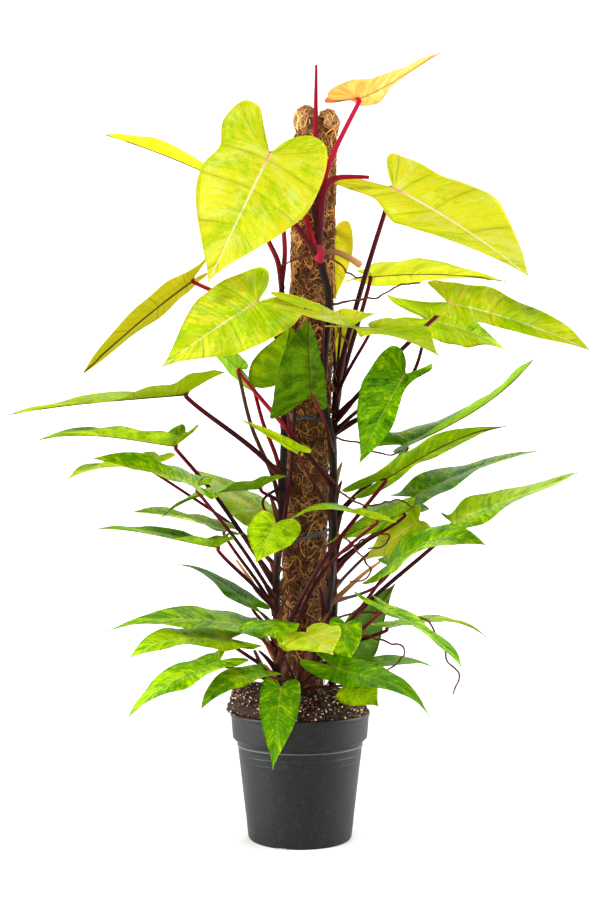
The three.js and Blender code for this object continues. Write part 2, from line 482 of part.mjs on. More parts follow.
// The two halves of a blade as one sheet: ribs run from the joint and the midrib to the margin
function bladeSheet(leaf, ribs, steps) {
  const frame = bladeFrame(leaf);
  const points = [bladePoint(leaf, frame, 0, 0, 0)];
  const faces = [];
  const baseShare = (u) => Math.max(0, (u - 0.42) / 0.58) ** 1.1;
  const midrib = [];
  for (let i = 1; i < ribs; i++) {
    const share = baseShare(i / ribs);
    midrib.push(share > 0 ? points.push(bladePoint(leaf, frame, share, 0, 0)) - 1 : 0);
  }
  const tip = points.push(bladePoint(leaf, frame, 1, 0, 0)) - 1;
  for (const hand of [-1, 1]) {
    const outline = outlineOf(pair(leaf.shape ?? "heart", hand), pair(leaf.lobes, hand));
    const rows = midrib.map((base, i) => {
      const u = (i + 1) / ribs;
      const edge = outline.getPoint(u);
      const row = [base];
      for (let k = 1; k <= steps; k++) {
        const w = k / steps;
        const share = baseShare(u) + (edge.x - baseShare(u)) * w;
        row.push(points.push(bladePoint(leaf, frame, share, hand * edge.y * w, u)) - 1);
      }
      return row;
    });
    const face = (a, b, c) => {
      if (a !== b && b !== c && a !== c) faces.push(hand > 0 ? [a, c, b] : [a, b, c]);
    };
    rows.slice(1).forEach((next, i) => {
      for (let k = 0; k < steps; k++) {
        face(rows[i][k], rows[i][k + 1], next[k + 1]);
        face(rows[i][k], next[k + 1], next[k]);
      }
    });
    const end = rows[rows.length - 1];
    for (let k = 0; k < steps; k++) face(end[k], end[k + 1], tip);
  }
  return { points, faces, up: frame.up };
}

// A sheet given its thickness, with the same triangles on both faces and a rim along its open edges
function thicken({ points, faces, up }, thickness) {
  const normals = points.map(() => new THREE.Vector3());
  for (const [a, b, c] of faces) {
    const area = points[b].clone().sub(points[a]).cross(points[c].clone().sub(points[a]));
    for (const i of [a, b, c]) normals[i].add(area);
  }
  const turned = normals[0].dot(up) < 0 ? -1 : 1;
  const shifted = (sign) =>
    points.map((p, i) => p.clone().addScaledVector(normals[i].clone().normalize(), (sign * thickness) / 2));
  const count = points.length;
  const all = [...shifted(1), ...shifted(-1)];
  const open = new Map();
  const closed = [];
  for (const [a, b, c] of faces) {
    closed.push([a, b, c], [a + count, c + count, b + count]);
    for (const [from, to] of [[a, b], [b, c], [c, a]]) {
      if (!open.delete(to + "-" + from)) open.set(from + "-" + to, [from, to]);
    }
  }
  for (const [from, to] of open.values())
    closed.push([to, from, from + count], [to, from + count, to + count]);
  return { geometry: geometryOf(all, closed), turned };
}

// A stalk runs from its stem to just under the blade's joint
function stalkPath(leaf, steps) {
  const { joint, up, length } = bladeFrame(leaf);
  const start = stemPoint(leaf.vine, leaf.from);
  const end = joint.clone().addScaledVector(up, -(bladeThickness / 2 + 0.5));
  const knee = joint.clone().addScaledVector(up, -7);
  const run = knee.distanceTo(start);
  const rise = new THREE.Vector3(0, 0, 0.08 * run);
  let leaving = start.clone().lerp(knee, 0.35).add(rise);
  let nearing = start.clone().lerp(knee, 0.75).addScaledVector(up, -0.06 * run).addScaledVector(rise, 0.4);
  if (leaf.via) {
    leaving = vector(leaf.via).multiplyScalar(8).sub(start).sub(knee).divideScalar(6);
    nearing = leaving;
  }
  const path = new THREE.CubicBezierCurve3(start, leaving, nearing, knee).getPoints(steps);
  path.push(end);
  const tipRadius = (1.2 + length * 0.0075) * (leaf.stout ?? 1);
  const radii = path.map((p, i) => tipRadius * (1.55 - 0.55 * Math.min(1, i / (0.6 * steps))));
  return { path, radii };
}

function makeStem(name) {
  const steps = 16;
  const path = stems[name].getPoints(steps);
  const radii = path.map((p, i) => stemRadius * (i % 2 ? 1 : 1.14) * (1 - (0.16 * i) / steps));
  let solid = solidOf(tube(path, radii, 7));
  for (const leaf of leaves.filter((one) => one.vine === name)) {
    const stalk = stalkPath(leaf, leaf.via ? 5 : 4);
    solid = solid.add(solidOf(tube(stalk.path, stalk.radii, 5)));
  }
  for (const { path: points, radii } of offshoots.filter((one) => one.vine === name)) {
    const count = points.length > 5 ? points.length + 3 : points.length * 2 - 2;
    const line = smoothPath(points, count - 1);
    const thick = line.map((p, i) => radiusAt(radii, i / (count - 1)));
    const sides = radii[0] > 3.9 ? 5 : radii[0] > 2.5 ? 4 : 3;
    solid = solid.add(solidOf(tube(line, thick, sides)));
  }
  return solid;
}

// Soil: a filled frustum with a heaped, rough top, and plain holes for the pole and the stems
function makeSoil() {
  const sides = 24;
  const ringAt = (radius, height, rough) => {
    const ring = [];
    for (let j = 0; j < sides; j++) {
      const angle = (2 * Math.PI * j) / sides;
      const z = height + rough * (2 * draw() - 1);
      ring.push(new THREE.Vector3(radius * Math.cos(angle), radius * Math.sin(angle), z));
    }
    return ring;
  };
  const wallRadius = rimRadius - skirtFlare - potWall;
  const rings = [
    ringAt(bodyRadiusAt(9) - potWall - 1, potFloor + potWall + gap, 0),
    ringAt(bodyTopRadius - potWall - 1, skirtFoot - 6, 0),
    ringAt(wallRadius - 1, skirtFoot + 3, 0),
    ringAt(wallRadius + 1, potHeight - 4, 0),
    ringAt(wallRadius - 1, soilEdge, 2),
  ];
  for (const [share, heap] of [[0.93, 0.45], [0.8, 0.75], [0.62, 0.9], [0.42, 0.98], [0.2, 1]])
    rings.push(ringAt(wallRadius * share, soilEdge + (soilCrown - soilEdge) * heap, 3.5));
  let soil = solidOf(loft(rings));
  const poleHole = [poleFoot - gap, 300].map((z) => poleRing(z, poleRadius - 2 + 0.6, 0));
  soil = soil.subtract(solidOf(loft(poleHole)));
  for (const stem of Object.values(stems)) {
    const path = [-0.004, 0, 0.03, 0.06, 0.09, 0.12, 0.15].map((t) => {
      const start = stem.getPoint(Math.max(t, 0));
      return t < 0 ? start.add(new THREE.Vector3(0, 0, -4)) : start;
    });
    soil = soil.subtract(solidOf(tube(path, path.map(() => stemRadius * 1.14 + 1.4), 8)));
  }
  return soil;
}

// Ties: flat plastic bands round the pole, a little tilted
function makeTie(height, tilt, slack) {
  const inner = poleRadius + slack;
  const outer = inner + 1.4;
  const band = [[inner, -2.5], [outer, -2.5], [outer, 2.5], [inner, 2.5], [inner, -2.5]];
  const ring = lathe(band, 18).scale(1 / Math.cos(tilt), 1, 1);
  return ring.rotateY(tilt).translate(poleX(height), 0, height);
}

const group = new THREE.Group();
function addPiece(name, geometry, color, roughness) {
  const mesh = new THREE.Mesh(geometry, new THREE.MeshStandardMaterial({ color, roughness, metalness: 0 }));
  mesh.name = name;
  group.add(mesh);
}

addPiece("pot", geometryFrom(makePot()), 0x3b3f43, 0.55);
addPiece("soil", geometryFrom(makeSoil()), 0x2c1e15, 0.95);
addPiece("coir_pole", geometryFrom(makePole()), 0x8a5a2e, 0.95);
addPiece("tie_upper", makeTie(716, 0.16, 1.9), 0x55606e, 0.5);
addPiece("tie_middle", makeTie(511, -0.33, 2.2), 0x55606e, 0.5);
addPiece("tie_lower", makeTie(278, -0.2, 1.1), 0x2f7a2a, 0.5);
for (const name of Object.keys(vines)) addPiece("vine_" + name, geometryFrom(makeStem(name)), 0x5a1a22, 0.4);
leaves.forEach((leaf, i) => {
  const large = bladeFrame(leaf).length > 220;
  const sheet = bladeSheet(leaf, large ? 9 : 7, 2);
  const { geometry } = thicken(sheet, bladeThickness);
  addPiece("leaf_" + String(i + 1).padStart(2, "0"), geometry, 0x86a82c, 0.4);
});

export default group;
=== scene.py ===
import bpy, math
import numpy as np
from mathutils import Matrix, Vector, noise


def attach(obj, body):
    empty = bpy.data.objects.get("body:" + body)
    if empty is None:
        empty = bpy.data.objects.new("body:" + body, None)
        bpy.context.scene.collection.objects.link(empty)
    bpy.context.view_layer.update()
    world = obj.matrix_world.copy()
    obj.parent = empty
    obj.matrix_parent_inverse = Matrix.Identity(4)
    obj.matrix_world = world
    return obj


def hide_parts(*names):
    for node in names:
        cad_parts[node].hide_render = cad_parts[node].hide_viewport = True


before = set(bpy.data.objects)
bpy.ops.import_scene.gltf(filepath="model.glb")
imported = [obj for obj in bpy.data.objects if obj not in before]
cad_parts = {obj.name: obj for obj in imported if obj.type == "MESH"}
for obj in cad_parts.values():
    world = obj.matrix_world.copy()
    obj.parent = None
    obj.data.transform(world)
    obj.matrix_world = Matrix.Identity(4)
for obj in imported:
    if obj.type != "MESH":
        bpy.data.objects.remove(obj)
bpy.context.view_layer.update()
mm = 0.001
rng = np.random.default_rng(11)
print("frame loaded:", len(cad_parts), "nodes")


def unit(v):
    v = np.asarray(v, float)
    return v / np.maximum(np.linalg.norm(v, axis=-1, keepdims=True), 1e-9)


def ease(x, low, high):  # 0 at low, 1 at high, smooth between
    t = np.clip((x - low) / (high - low), 0, 1)
    return t * t * (3 - 2 * t)


def pair(value, hand):  # a value that may differ between the two halves of a blade
    return value[1 if hand > 0 else 0] if isinstance(value, tuple) else value


def shade(red, green, blue):  # a colour as seen on a screen, made linear
    linear = [((c / 255 + 0.055) / 1.055) ** 2.4 if c > 10 else c / 3295 for c in (red, green, blue)]
    return (*linear, 1.0)


def mixed(first, second, share):  # two colours
    return np.array(first) * (1 - share) + np.array(second) * share


def smoothPath(points, count):  # an even curve through given points
    p = np.asarray(points, float)
    p = np.vstack([2 * p[0] - p[1], p, 2 * p[-1] - p[-2]])
    t = np.linspace(0, len(points) - 1, count)
    i = np.minimum(t.astype(int), len(points) - 2)
    f = (t - i)[:, None]
    a, b, c, d = p[i], p[i + 1], p[i + 2], p[i + 3]
    return 0.5 * (2 * b + (c - a) * f + (2 * a - 5 * b + 4 * c - d) * f**2 + (3 * b - a - 3 * c + d) * f**3)


def lumps(points, size, seed=0.0):  # smooth random values, one for each point
    return np.array([noise.noise((x / size + seed, y / size, z / size - seed)) for x, y, z in points])


def gridFaces(rows, columns, start=0):  # quads of a grid, by index
    i, j = np.meshgrid(np.arange(rows - 1), np.arange(columns - 1), indexing="ij")
    a = (start + i * columns + j).ravel()
    return np.stack([a, a + 1, a + columns + 1, a + columns], 1)


def closeSeam(points, rows):  # the last point of each ring takes the place of its first
    grid = points.reshape(rows, -1, 3)
    grid[:, -1] = grid[:, 0]


def spun(turn):  # for rows of points: a turn about the upright
    c, s = math.cos(turn), math.sin(turn)
    return np.array([[c, s, 0], [-s, c, 0], [0, 0, 1]])


def tipped(turn):  # for rows of points: a lean to the side
    c, s = math.cos(turn), math.sin(turn)
    return np.array([[c, 0, s], [0, 1, 0], [-s, 0, c]])


def makeMesh(name, points, quads, materials, flat=None, slots=None, **values):
    # Points are in millimetres, and points at one place are joined. The values are what the materials read,
    # kept for each corner of a face.
    points, quads = np.asarray(points, float), np.asarray(quads, int)
    kept, weld = np.unique(np.round(points, 3), axis=0, return_inverse=True)
    weld = weld.ravel()
    joined = weld[quads]
    keep = joined != np.roll(joined, -1, 1)
    good = keep.sum(1) >= 3
    quads, keep = quads[good], keep[good]
    sizes, corners = keep.sum(1), quads[keep]
    mesh = bpy.data.meshes.new(name)
    mesh.vertices.add(len(kept))
    mesh.vertices.foreach_set("co", (kept * mm).ravel())
    mesh.loops.add(len(corners))
    mesh.loops.foreach_set("vertex_index", weld[corners])
    mesh.polygons.add(len(sizes))
    mesh.polygons.foreach_set("loop_start", np.concatenate([[0], np.cumsum(sizes)[:-1]]))
    mesh.polygons.foreach_set("use_smooth", np.ones(len(sizes), bool) if flat is None else ~flat[good])
    for material in materials:
        mesh.materials.append(material)
    if slots is not None:
        mesh.polygons.foreach_set("material_index", slots[good])
    for key, value in values.items():
        value = np.asarray(value, float)
        wide = value.ndim == 2  # a colour for each point
        layer = mesh.attributes.new(key, "FLOAT_COLOR" if wide else "FLOAT", "CORNER")
        each = value[corners] if wide else np.broadcast_to(value, len(points))[corners]
        layer.data.foreach_set("color" if wide else "value", each.ravel())
    mesh.update(calc_edges=True)
    piece = bpy.data.objects.new(name, mesh)
    bpy.context.scene.collection.objects.link(piece)
    return piece


def tube(path, radii, sides, flatten=1.0):  # points, quads and the share along and around of a closed tube
    path, radii = np.asarray(path, float), np.asarray(radii, float)
    ahead = unit(np.gradient(path, axis=0))
    across = np.zeros_like(path)
    side = np.cross(ahead[0], (0.1, 1, 0.2))
    for i, direction in enumerate(ahead):
        side = unit(side - direction * side.dot(direction))
        across[i] = side
    over = np.cross(ahead, across)
    turn = np.linspace(0, 2 * math.pi, sides + 1)
    ring = across[:, None] * np.cos(turn)[:, None] + over[:, None] * flatten * np.sin(turn)[:, None]
    points = path[:, None] + ring * radii[:, None, None]
    points[:, -1] = points[:, 0]
    ends = [np.repeat(path[:1], sides + 1, 0)[None], points, np.repeat(path[-1:], sides + 1, 0)[None]]
    points = np.vstack(ends)
    along, around = np.meshgrid(np.linspace(0, 1, len(points)), turn, indexing="ij")
    return points.reshape(-1, 3), gridFaces(len(points), sides + 1), along.ravel(), around.ravel()


def lathe(profile, turns):  # a profile of radii and heights, turned
    profile = np.asarray(profile, float)
    angle = np.linspace(0, 2 * math.pi, turns + 1)
    points = np.stack([profile[:, None, 0] * np.cos(angle), profile[:, None, 0] * np.sin(angle),
                       profile[:, None, 1] + 0 * angle], -1)
    points[:, -1] = points[:, 0]
    return points.reshape(-1, 3), gridFaces(len(profile), turns + 1)[:, ::-1]


def rounded(profile, radius):  # the profile with its corners eased
    out = [profile[0]]
    for before, here, after in zip(profile, profile[1:], profile[2:]):
        before, here, after = (np.array(p, float) for p in (before, here, after))
        a, b = before - here, after - here
        cut = min(radius, 0.45 * np.linalg.norm(a), 0.45 * np.linalg.norm(b))
        a, b = here + unit(a) * cut, here + unit(b) * cut
        out += [tuple((1 - t) ** 2 * a + 2 * t * (1 - t) * here + t * t * b) for t in (0, 0.33, 0.67, 1)]
    return out + [profile[-1]]


class Wire:  # a shader socket that takes part in sums
    def __init__(self, finish, socket):
        self.finish, self.socket = finish, socket

    def maths(self, operation, *values):
        return self.finish.node("ShaderNodeMath", {"operation": operation}, values)

    def __add__(self, other):
        return self.maths("ADD", self, other)

    def __sub__(self, other):
        return self.maths("SUBTRACT", self, other)

    def __rsub__(self, other):
        return self.maths("SUBTRACT", other, self)

    def __mul__(self, other):
        return self.maths("MULTIPLY", self, other)

    def __abs__(self):
        return self.maths("ABSOLUTE", self)

    __radd__, __rmul__ = __add__, __mul__

    def within(self, low, high):  # 0 at low, 1 at high, smooth between
        settings = {"interpolation_type": "SMOOTHSTEP"}
        return self.finish.node("ShaderNodeMapRange", settings, (self, low, high, 0.0, 1.0))

    def stripes(self, sharp=0.1):  # 1 where the value is a whole number, falling to 0 beside it
        return abs(self.maths("FRACT", self) - 0.5).within(0.5 - sharp, 0.5)


class Finish:  # a material whose colours and relief are written as sums
    def __init__(self, name, fixed):
        self.material = bpy.data.materials.new(name)
        self.material.use_nodes = True
        self.tree = self.material.node_tree
        self.shader = self.tree.nodes["Principled BSDF"]
        for socket, value in fixed.items():
            self.shader.inputs[socket].default_value = value

    def node(self, kind, settings, values, output=0):
        made = self.tree.nodes.new(kind)
        for key, value in settings.items():
            setattr(made, key, value)
        for place, value in values.items() if isinstance(values, dict) else enumerate(values):
            if isinstance(value, Wire):
                self.tree.links.new(value.socket, made.inputs[place])
            else:
                made.inputs[place].default_value = value
        return Wire(self, made.outputs[output])

    def read(self, name, output="Fac"):
        return self.node("ShaderNodeAttribute", {"attribute_name": name}, {}, output)

    def place(self, scale=1000.0):  # where the point is on the object, in millimetres
        at = self.node("ShaderNodeTexCoord", {}, {}, "Object")
        return self.node("ShaderNodeVectorMath", {"operation": "SCALE"}, {0: at, "Scale": scale})

    def vector(self, x, y, z=0.0):
        return self.node("ShaderNodeCombineXYZ", {}, (x, y, z))

    def noise(self, vector, scale=1.0, detail=3.0, rough=0.55, twist=0.0):
        values = {"Vector": vector, "Scale": scale, "Detail": detail, "Roughness": rough, "Distortion": twist}
        return self.node("ShaderNodeTexNoise", {}, values)

    def grain(self, x, y, z, **look):  # noise stretched by the measures of x, y and z
        return self.noise(self.vector(x, y, z), **look)

    def blend(self, share, first, second):  # two colours
        return self.node("ShaderNodeMix", {"data_type": "RGBA"}, {0: share, 6: first, 7: second}, 2)

    def tinted(self, colour, amount):  # a colour times a grey value
        grey = self.vector(amount, amount, amount)
        settings = {"data_type": "RGBA", "blend_type": "MULTIPLY"}
        return self.node("ShaderNodeMix", settings, {0: 1.0, 6: colour, 7: grey}, 2)

    def relief(self, height, depth, strength=1.0):  # depth in millimetres
        values = {"Strength": strength, "Distance": depth * mm, "Height": height}
        self.send("Normal", self.node("ShaderNodeBump", {}, values))

    def send(self, socket, wire):
        self.tree.links.new(wire.socket, self.shader.inputs[socket])


maroon, redStalk, pinkStalk = shade(54, 8, 12), shade(154, 4, 32), shade(188, 18, 62)
darkStem, brownSheath, tanSheath = shade(30, 18, 11), shade(92, 52, 28), shade(206, 148, 86)
rootBrown, knobPink, stemBrown = shade(94, 42, 26), shade(158, 30, 52), shade(42, 23, 15)

# Leaf blades. joint: where the stalk meets the blade. faces: where the upper side looks. lobes: how far
# the back lobes reach behind the joint. fold, arch, hook, twist, wave: how the blade bends. height and via:
# where the stalk leaves its vine, and a point it passes. stout: how thick the stalk is. tone: 0 for a dark
# green leaf and 1 for a yellow one, the leaf's own colour with painted shade in it: leaves that lie in shade
# have lower tones. Two values in a pair are the two halves.
leafRows = [
    dict(joint=(-51, -90, 1160), tip=(-150, -150, 928), faces=(.2, -.95, .2), width=205, lobes=(.25, .29),
         fold=8, arch=.03, wave=.05, shape=("heart", "waisted"), vine="front", height=1000,
         via=(16, -74, 1085), tone=.9, slot="leaf_lime"),
    dict(joint=(-116, 60, 1145), tip=(-364, 130, 1258), faces=(-.4, .05, .9), width=130, lobes=.2, fold=24,
         arch=.02, wave=.08, shape="arrow", vine="front", height=988, via=(-30, -73, 1064), tone=.72,
         stalk=(maroon, redStalk)),
    dict(joint=(99, -40, 1271), tip=(256, 20, 1376), faces=(-.4, .22, .88), width=72, lobes=.24, fold=12,
         lobeFold=66, arch=-.04, hook=.03, wave=.16, vine="front", height=1000, via=(44, -64, 1130),
         stout=1.35, tone=.75, slot="leaf_orange", warm=1, stalk=(redStalk, pinkStalk)),
    dict(joint=(160, -40, 1114), tip=(383, -90, 951), faces=(.25, -.9, .35), width=(190, 130),
         lobes=(.17, .33), fold=10, arch=.04, wave=.05, shape=("broad", "hooked"), vine="right", height=775,
         stout=1.05, tone=.98, slot="leaf_lime"),
    dict(joint=(-187, -30, 955), tip=(-365, -80, 787), faces=(-.62, .3, .7), width=70, lobes=.2, fold=16,
         arch=.02, twist=-.2, wave=.12, shape="arrow", vine="left", height=870, tone=.96,
         stalk=(maroon, redStalk)),
    dict(joint=(-71, -110, 904), tip=(-225, -170, 786), faces=(-.1, -.92, .4), width=150, lobes=.27, fold=6,
         arch=.02, wave=.06, vine="left", height=840, stout=1.2, tone=.78, slot="leaf_lime",
         stalk=(maroon, redStalk)),
    dict(joint=(60, 75, 1062), tip=(64, 90, 938), faces=(.4, .85, .2), width=78, lobes=.15, fold=6,
         arch=.02, wave=.05, vine="right", height=762, tone=.92),
    dict(joint=(128, 84, 985), tip=(386, 152, 986), faces=(.05, .1, 1), width=155, lobes=.14, fold=10,
         arch=.035, wave=.1, vine="right", height=735, tone=.8, slot="leaf_lime"),
    dict(joint=(257, -20, 917), tip=(492, -60, 829), faces=(.25, -.85, .6), width=(118, 86),
         lobes=(.2, .08), fold=14, arch=.04, wave=.1, shape=("arrow", "waisted"), vine="right", height=715,
         via=(160, -20, 820), tone=.78),
    dict(joint=(230, 40, 897), tip=(384, 140, 852), faces=(.2, -.75, .65), width=110, lobes=.42, fold=12,
         arch=.04, hook=.02, wave=.14, vine="right", height=694, via=(186, 10, 780), tone=.68),
    dict(joint=(119, -90, 863), tip=(223, -190, 802), faces=(.3, -.6, .75), width=(150, 110),
         lobes=(.22, .44), fold=12, arch=.06, wave=.08, shape=("heart", "hooked"), vine="right", height=755,
         tone=.74),
    dict(joint=(40, -116, 882), tip=(128, -106, 886), faces=(.1, -.5, .85), width=84, lobes=.95, fold=10,
         arch=-.08, wave=.12, vine="front", height=780, stout=.8, tone=.83, slot="leaf_lime"),
    dict(joint=(18, -158, 740), tip=(14, -122, 874), faces=(-.5, .85, .15), width=(90, 150), lobes=(.1, .3),
         fold=26, arch=.04, wave=.05, shape=("shouldered", "winged"), vine="front", height=655,
         via=(44, -156, 690), tone=.15),
    dict(joint=(-32, -88, 774), tip=(-16, -70, 874), faces=(.2, .95, .1), width=116, lobes=.15, fold=8,
         arch=.02, vine="left", height=560, via=(-14, -70, 660), tone=.42),
    dict(joint=(72, 60, 900), tip=(51, 90, 806), faces=(-.2, .9, .35), width=75, lobes=.15, fold=8,
         arch=.03, vine="right", height=770, tone=.9),
    dict(joint=(-102, -30, 801), tip=(-194, 60, 873), faces=(.1, .65, .75), width=95, lobes=.2, fold=10,
         arch=.02, vine="front", height=600, via=(-20, -104, 690), stout=1.35, tone=.33,
         stalk=(maroon, maroon, redStalk, pinkStalk)),
    dict(joint=(-191, -90, 754), tip=(-466, -170, 711), faces=(-.05, -.03, 1), width=120, lobes=.22,
         fold=16, lobeFold=50, arch=.005, hook=.01, twist=.15, wave=.13, shape="arrow", vine="left",
         height=614, tone=.64),
    dict(joint=(-207, -90, 667), tip=(-416, -180, 670), faces=(0, -.04, 1), width=128, lobes=.12, fold=18,
         lobeFold=45, arch=.02, hook=.03, wave=.14, shape="arrow", vine="left", height=430,
         via=(-136, -42, 572), tone=.48),
    dict(joint=(-258, -20, 634), tip=(-388, -80, 610), faces=(-.1, -.12, 1), width=110, lobes=.25, fold=16,
         lobeFold=36, arch=.05, hook=.03, wave=.16, shape="arrow", vine="left", height=460,
         via=(-118, 22, 532), tone=.62),
    dict(joint=(-162, -187, 595), tip=(-321, -236, 637), faces=(.25, -.3, .95), width=112, lobes=.16,
         fold=16, arch=.04, wave=.1, shape="arrow", vine="left", height=405, via=(-98, -118, 500), tone=.5),
    dict(joint=(-76, 14, 555), tip=(-195, 104, 634), faces=(.5, -.55, .65), width=110, lobes=.2, fold=8,
         arch=.03, wave=.07, vine="left", height=480, tone=.68),
    dict(joint=(-66, -95, 596), tip=(-227, -125, 545), faces=(-.3, -.04, 1), width=106, lobes=.24, fold=14,
         lobeFold=34, arch=.06, hook=.04, wave=.12, shape="arrow", vine="left", height=570, tone=.36),
    dict(joint=(-129, -30, 525), tip=(-280, -70, 555), faces=(.1, -.2, 1), width=96, lobes=.16, fold=16,
         arch=.04, wave=.1, shape="arrow", vine="left", height=385, tone=.54),
    dict(joint=(-134, -110, 499), tip=(-325, -150, 528), faces=(.1, -.04, 1), width=98, lobes=.1, fold=18,
         lobeFold=40, arch=-.005, hook=.03, wave=.12, shape="arrow", vine="left", height=388, tone=.36),
    dict(joint=(-76, -90, 400), tip=(-214, -40, 467), faces=(.3, -.2, .9), width=66, lobes=.12, fold=12,
         arch=.02, hook=.05, wave=.08, vine="left", height=340, tone=.28),
    dict(joint=(-39, -156, 536), tip=(-70, -200, 474), faces=(-.1, -.85, .5), width=85, lobes=.22, fold=4,
         arch=.02, wave=.06, vine="left", height=600, via=(-62, -92, 572), tone=.64, slot="leaf_lime"),
    dict(joint=(0, -100, 656), tip=(-99, -150, 706), faces=(.4, .4, .8), width=42, lobes=.1, fold=14,
         arch=.01, wave=.08, vine="front", height=540, tone=.56),
    dict(joint=(174, -110, 783), tip=(96, -150, 633), faces=(-.45, -.85, .25), width=(86, 125),
         lobes=(.15, .24), fold=20, arch=.03, wave=.05, shape=("pinched", "heart"), vine="right",
         height=694, tone=.31),
    dict(joint=(181, -20, 671), tip=(419, 60, 829), faces=(-.45, -.1, .85), width=112, lobes=.14,
         fold=(42, 6), arch=-.04, hook=-.02, twist=.8, wave=.14, shape="arrow", vine="right", height=540,
         tone=.38),
    dict(joint=(141, -88, 612), tip=(334, -158, 693), faces=(-.35, .3, .9), width=94, lobes=.3, fold=14,
         arch=.03, hook=.03, twist=.35, wave=.12, shape="heart", vine="left", height=330,
         via=(35, -112, 470), tone=.43),
    dict(joint=(202, 30, 582), tip=(431, 100, 666), faces=(-.25, -.4, .9), width=104, lobes=.12, fold=16,
         arch=.04, twist=.3, wave=.12, shape="arrow", vine="right", height=450, tone=.37),
    dict(joint=(256, -60, 538), tip=(454, -130, 620), faces=(-.25, -.44, .9), width=100, lobes=.08, fold=12,
         arch=.01, hook=-.02, twist=.2, wave=.16, shape="arrow", vine="right", height=330, tone=.62),
    dict(joint=(147, -70, 466), tip=(297, -170, 502), faces=(-.25, -.5, .85), width=104, lobes=.2, fold=14,
         arch=.08, hook=.09, wave=.13, shape="arrow", vine="front", height=274, via=(76, -72, 362),
         tone=.44),
    dict(joint=(200, 98, 552), tip=(96, 178, 556), faces=(0, -.45, .9), width=95, lobes=.16, fold=10,
         arch=.05, wave=.08, vine="right", height=420, via=(116, 92, 474), tone=.33),
    dict(joint=(207, 20, 540), tip=(114, 60, 469), faces=(-.3, -.8, .55), width=90, lobes=.12, fold=8,
         arch=.01, wave=.08, vine="right", height=400, via=(146, 98, 428), tone=.82),
    dict(joint=(176, -40, 554), tip=(42, -110, 501), faces=(-.3, .5, .8), width=84, lobes=.12, fold=12,
         arch=.02, wave=.07, vine="right", height=460, tone=.44),
    dict(joint=(125, -140, 544), tip=(-19, -206, 541), faces=(0, -.1, 1), width=86, lobes=.12, fold=14,
         arch=.08, hook=.04, wave=.12, vine="left", height=300, via=(34, -104, 450), tone=.5),
    # painted shade: this leaf lies deep in shade low at the back of the plant, so its tone is the darkest
    # green
    dict(joint=(92, 62, 310), tip=(175, 114, 428), faces=(-.55, .8, .2), width=100, lobes=.15, fold=8,
         arch=.02, wave=.05, vine="right", height=272, tone=0, stalk=(maroon, maroon)),
    dict(joint=(138, -110, 398), tip=(254, -190, 311), faces=(.45, -.2, .85), width=84, lobes=.28, fold=12,
         arch=.03, hook=.04, wave=.1, shape="arrow", vine="front", height=262, via=(62, -70, 322),
         tone=.46),
    dict(joint=(150, -10, 359), tip=(334, 60, 331), faces=(.1, 0, 1), width=80, lobes=.1, fold=14, arch=.07,
         hook=.05, wave=.1, vine="right", height=310, tone=.56),
    dict(joint=(10, -150, 361), tip=(52, -220, 333), faces=(.15, -.75, .65), width=104, lobes=.25, fold=4,
         arch=.03, wave=.06, vine="front", height=268, tone=.88, slot="leaf_lime"),
    dict(joint=(76, -96, 370), tip=(72, -84, 292), faces=(-.3, -.9, .1), width=58, lobes=.12, fold=12,
         arch=.03, wave=.06, vine="front", height=272, via=(48, -70, 334), tone=.4),
    dict(joint=(-53, -152, 381), tip=(-28, -240, 352), faces=(0, -.2, 1), width=96, lobes=.14, fold=-4,
         arch=.05, hook=.04, wave=.1, vine="front", height=262, tone=.41, slot="leaf_lime"),
    dict(joint=(-31, -128, 270), tip=(-43, -172, 147), faces=(0, -.95, .3), width=66, lobes=.12, fold=4,
         arch=.02, wave=.06, vine="front", height=258, tone=.38, slot="leaf_lime"),
    dict(joint=(-87, -84, 366), tip=(-309, -150, 364), faces=(-.05, -.4, 1), width=96, lobes=.1, fold=12,
         arch=.05, hook=.03, wave=.1, vine="left", height=325, tone=.44),
    dict(joint=(-115, -110, 347), tip=(-269, -180, 325), faces=(0, -.42, 1), width=92, lobes=.26, fold=12,
         arch=.06, hook=.05, wave=.12, shape="arrow", vine="left", height=272, tone=.66),
    dict(joint=(-128, -172, 319), tip=(-262, -245, 241), faces=(-.35, -.5, .8), width=84, lobes=.2, fold=10,
         arch=.04, hook=.05, twist=-.3, wave=.15, shape="arrow", vine="left", height=262, tone=.48),
    dict(joint=(-56, -160, 301), tip=(-153, -220, 250), faces=(-.2, -.42, .9), width=66, lobes=.1, fold=14,
         arch=.08, hook=.06, wave=.08, shape="arrow", vine="front", height=262, tone=.37),
    dict(joint=(58, -140, 304), tip=(202, -200, 236), faces=(.3, -.5, .8), width=84, lobes=.3, fold=10,
         arch=.02, hook=.12, wave=.08, shape="heart", vine="front", height=262, tone=.29),
    dict(joint=(98, -8, 293), tip=(237, 40, 283), faces=(0, -.2, 1), width=75, lobes=.1, fold=12, arch=.04,
         hook=.03, wave=.08, vine="right", height=264, tone=.34),
    dict(joint=(88, -80, 272), tip=(128, -128, 240), faces=(-.3, -.75, .6), width=76, lobes=.12, fold=6,
         arch=.03, wave=.06, vine="front", height=258, tone=.56),
]
bladeForm = {"thickness": 0.9, "large": 220, "ribs": (84, 54), "steps": (10, 8), "veins": 6.5, "pleat": 2.5,
             "wave": 0.035, "ripple": 0.02, "cup": 0.16}

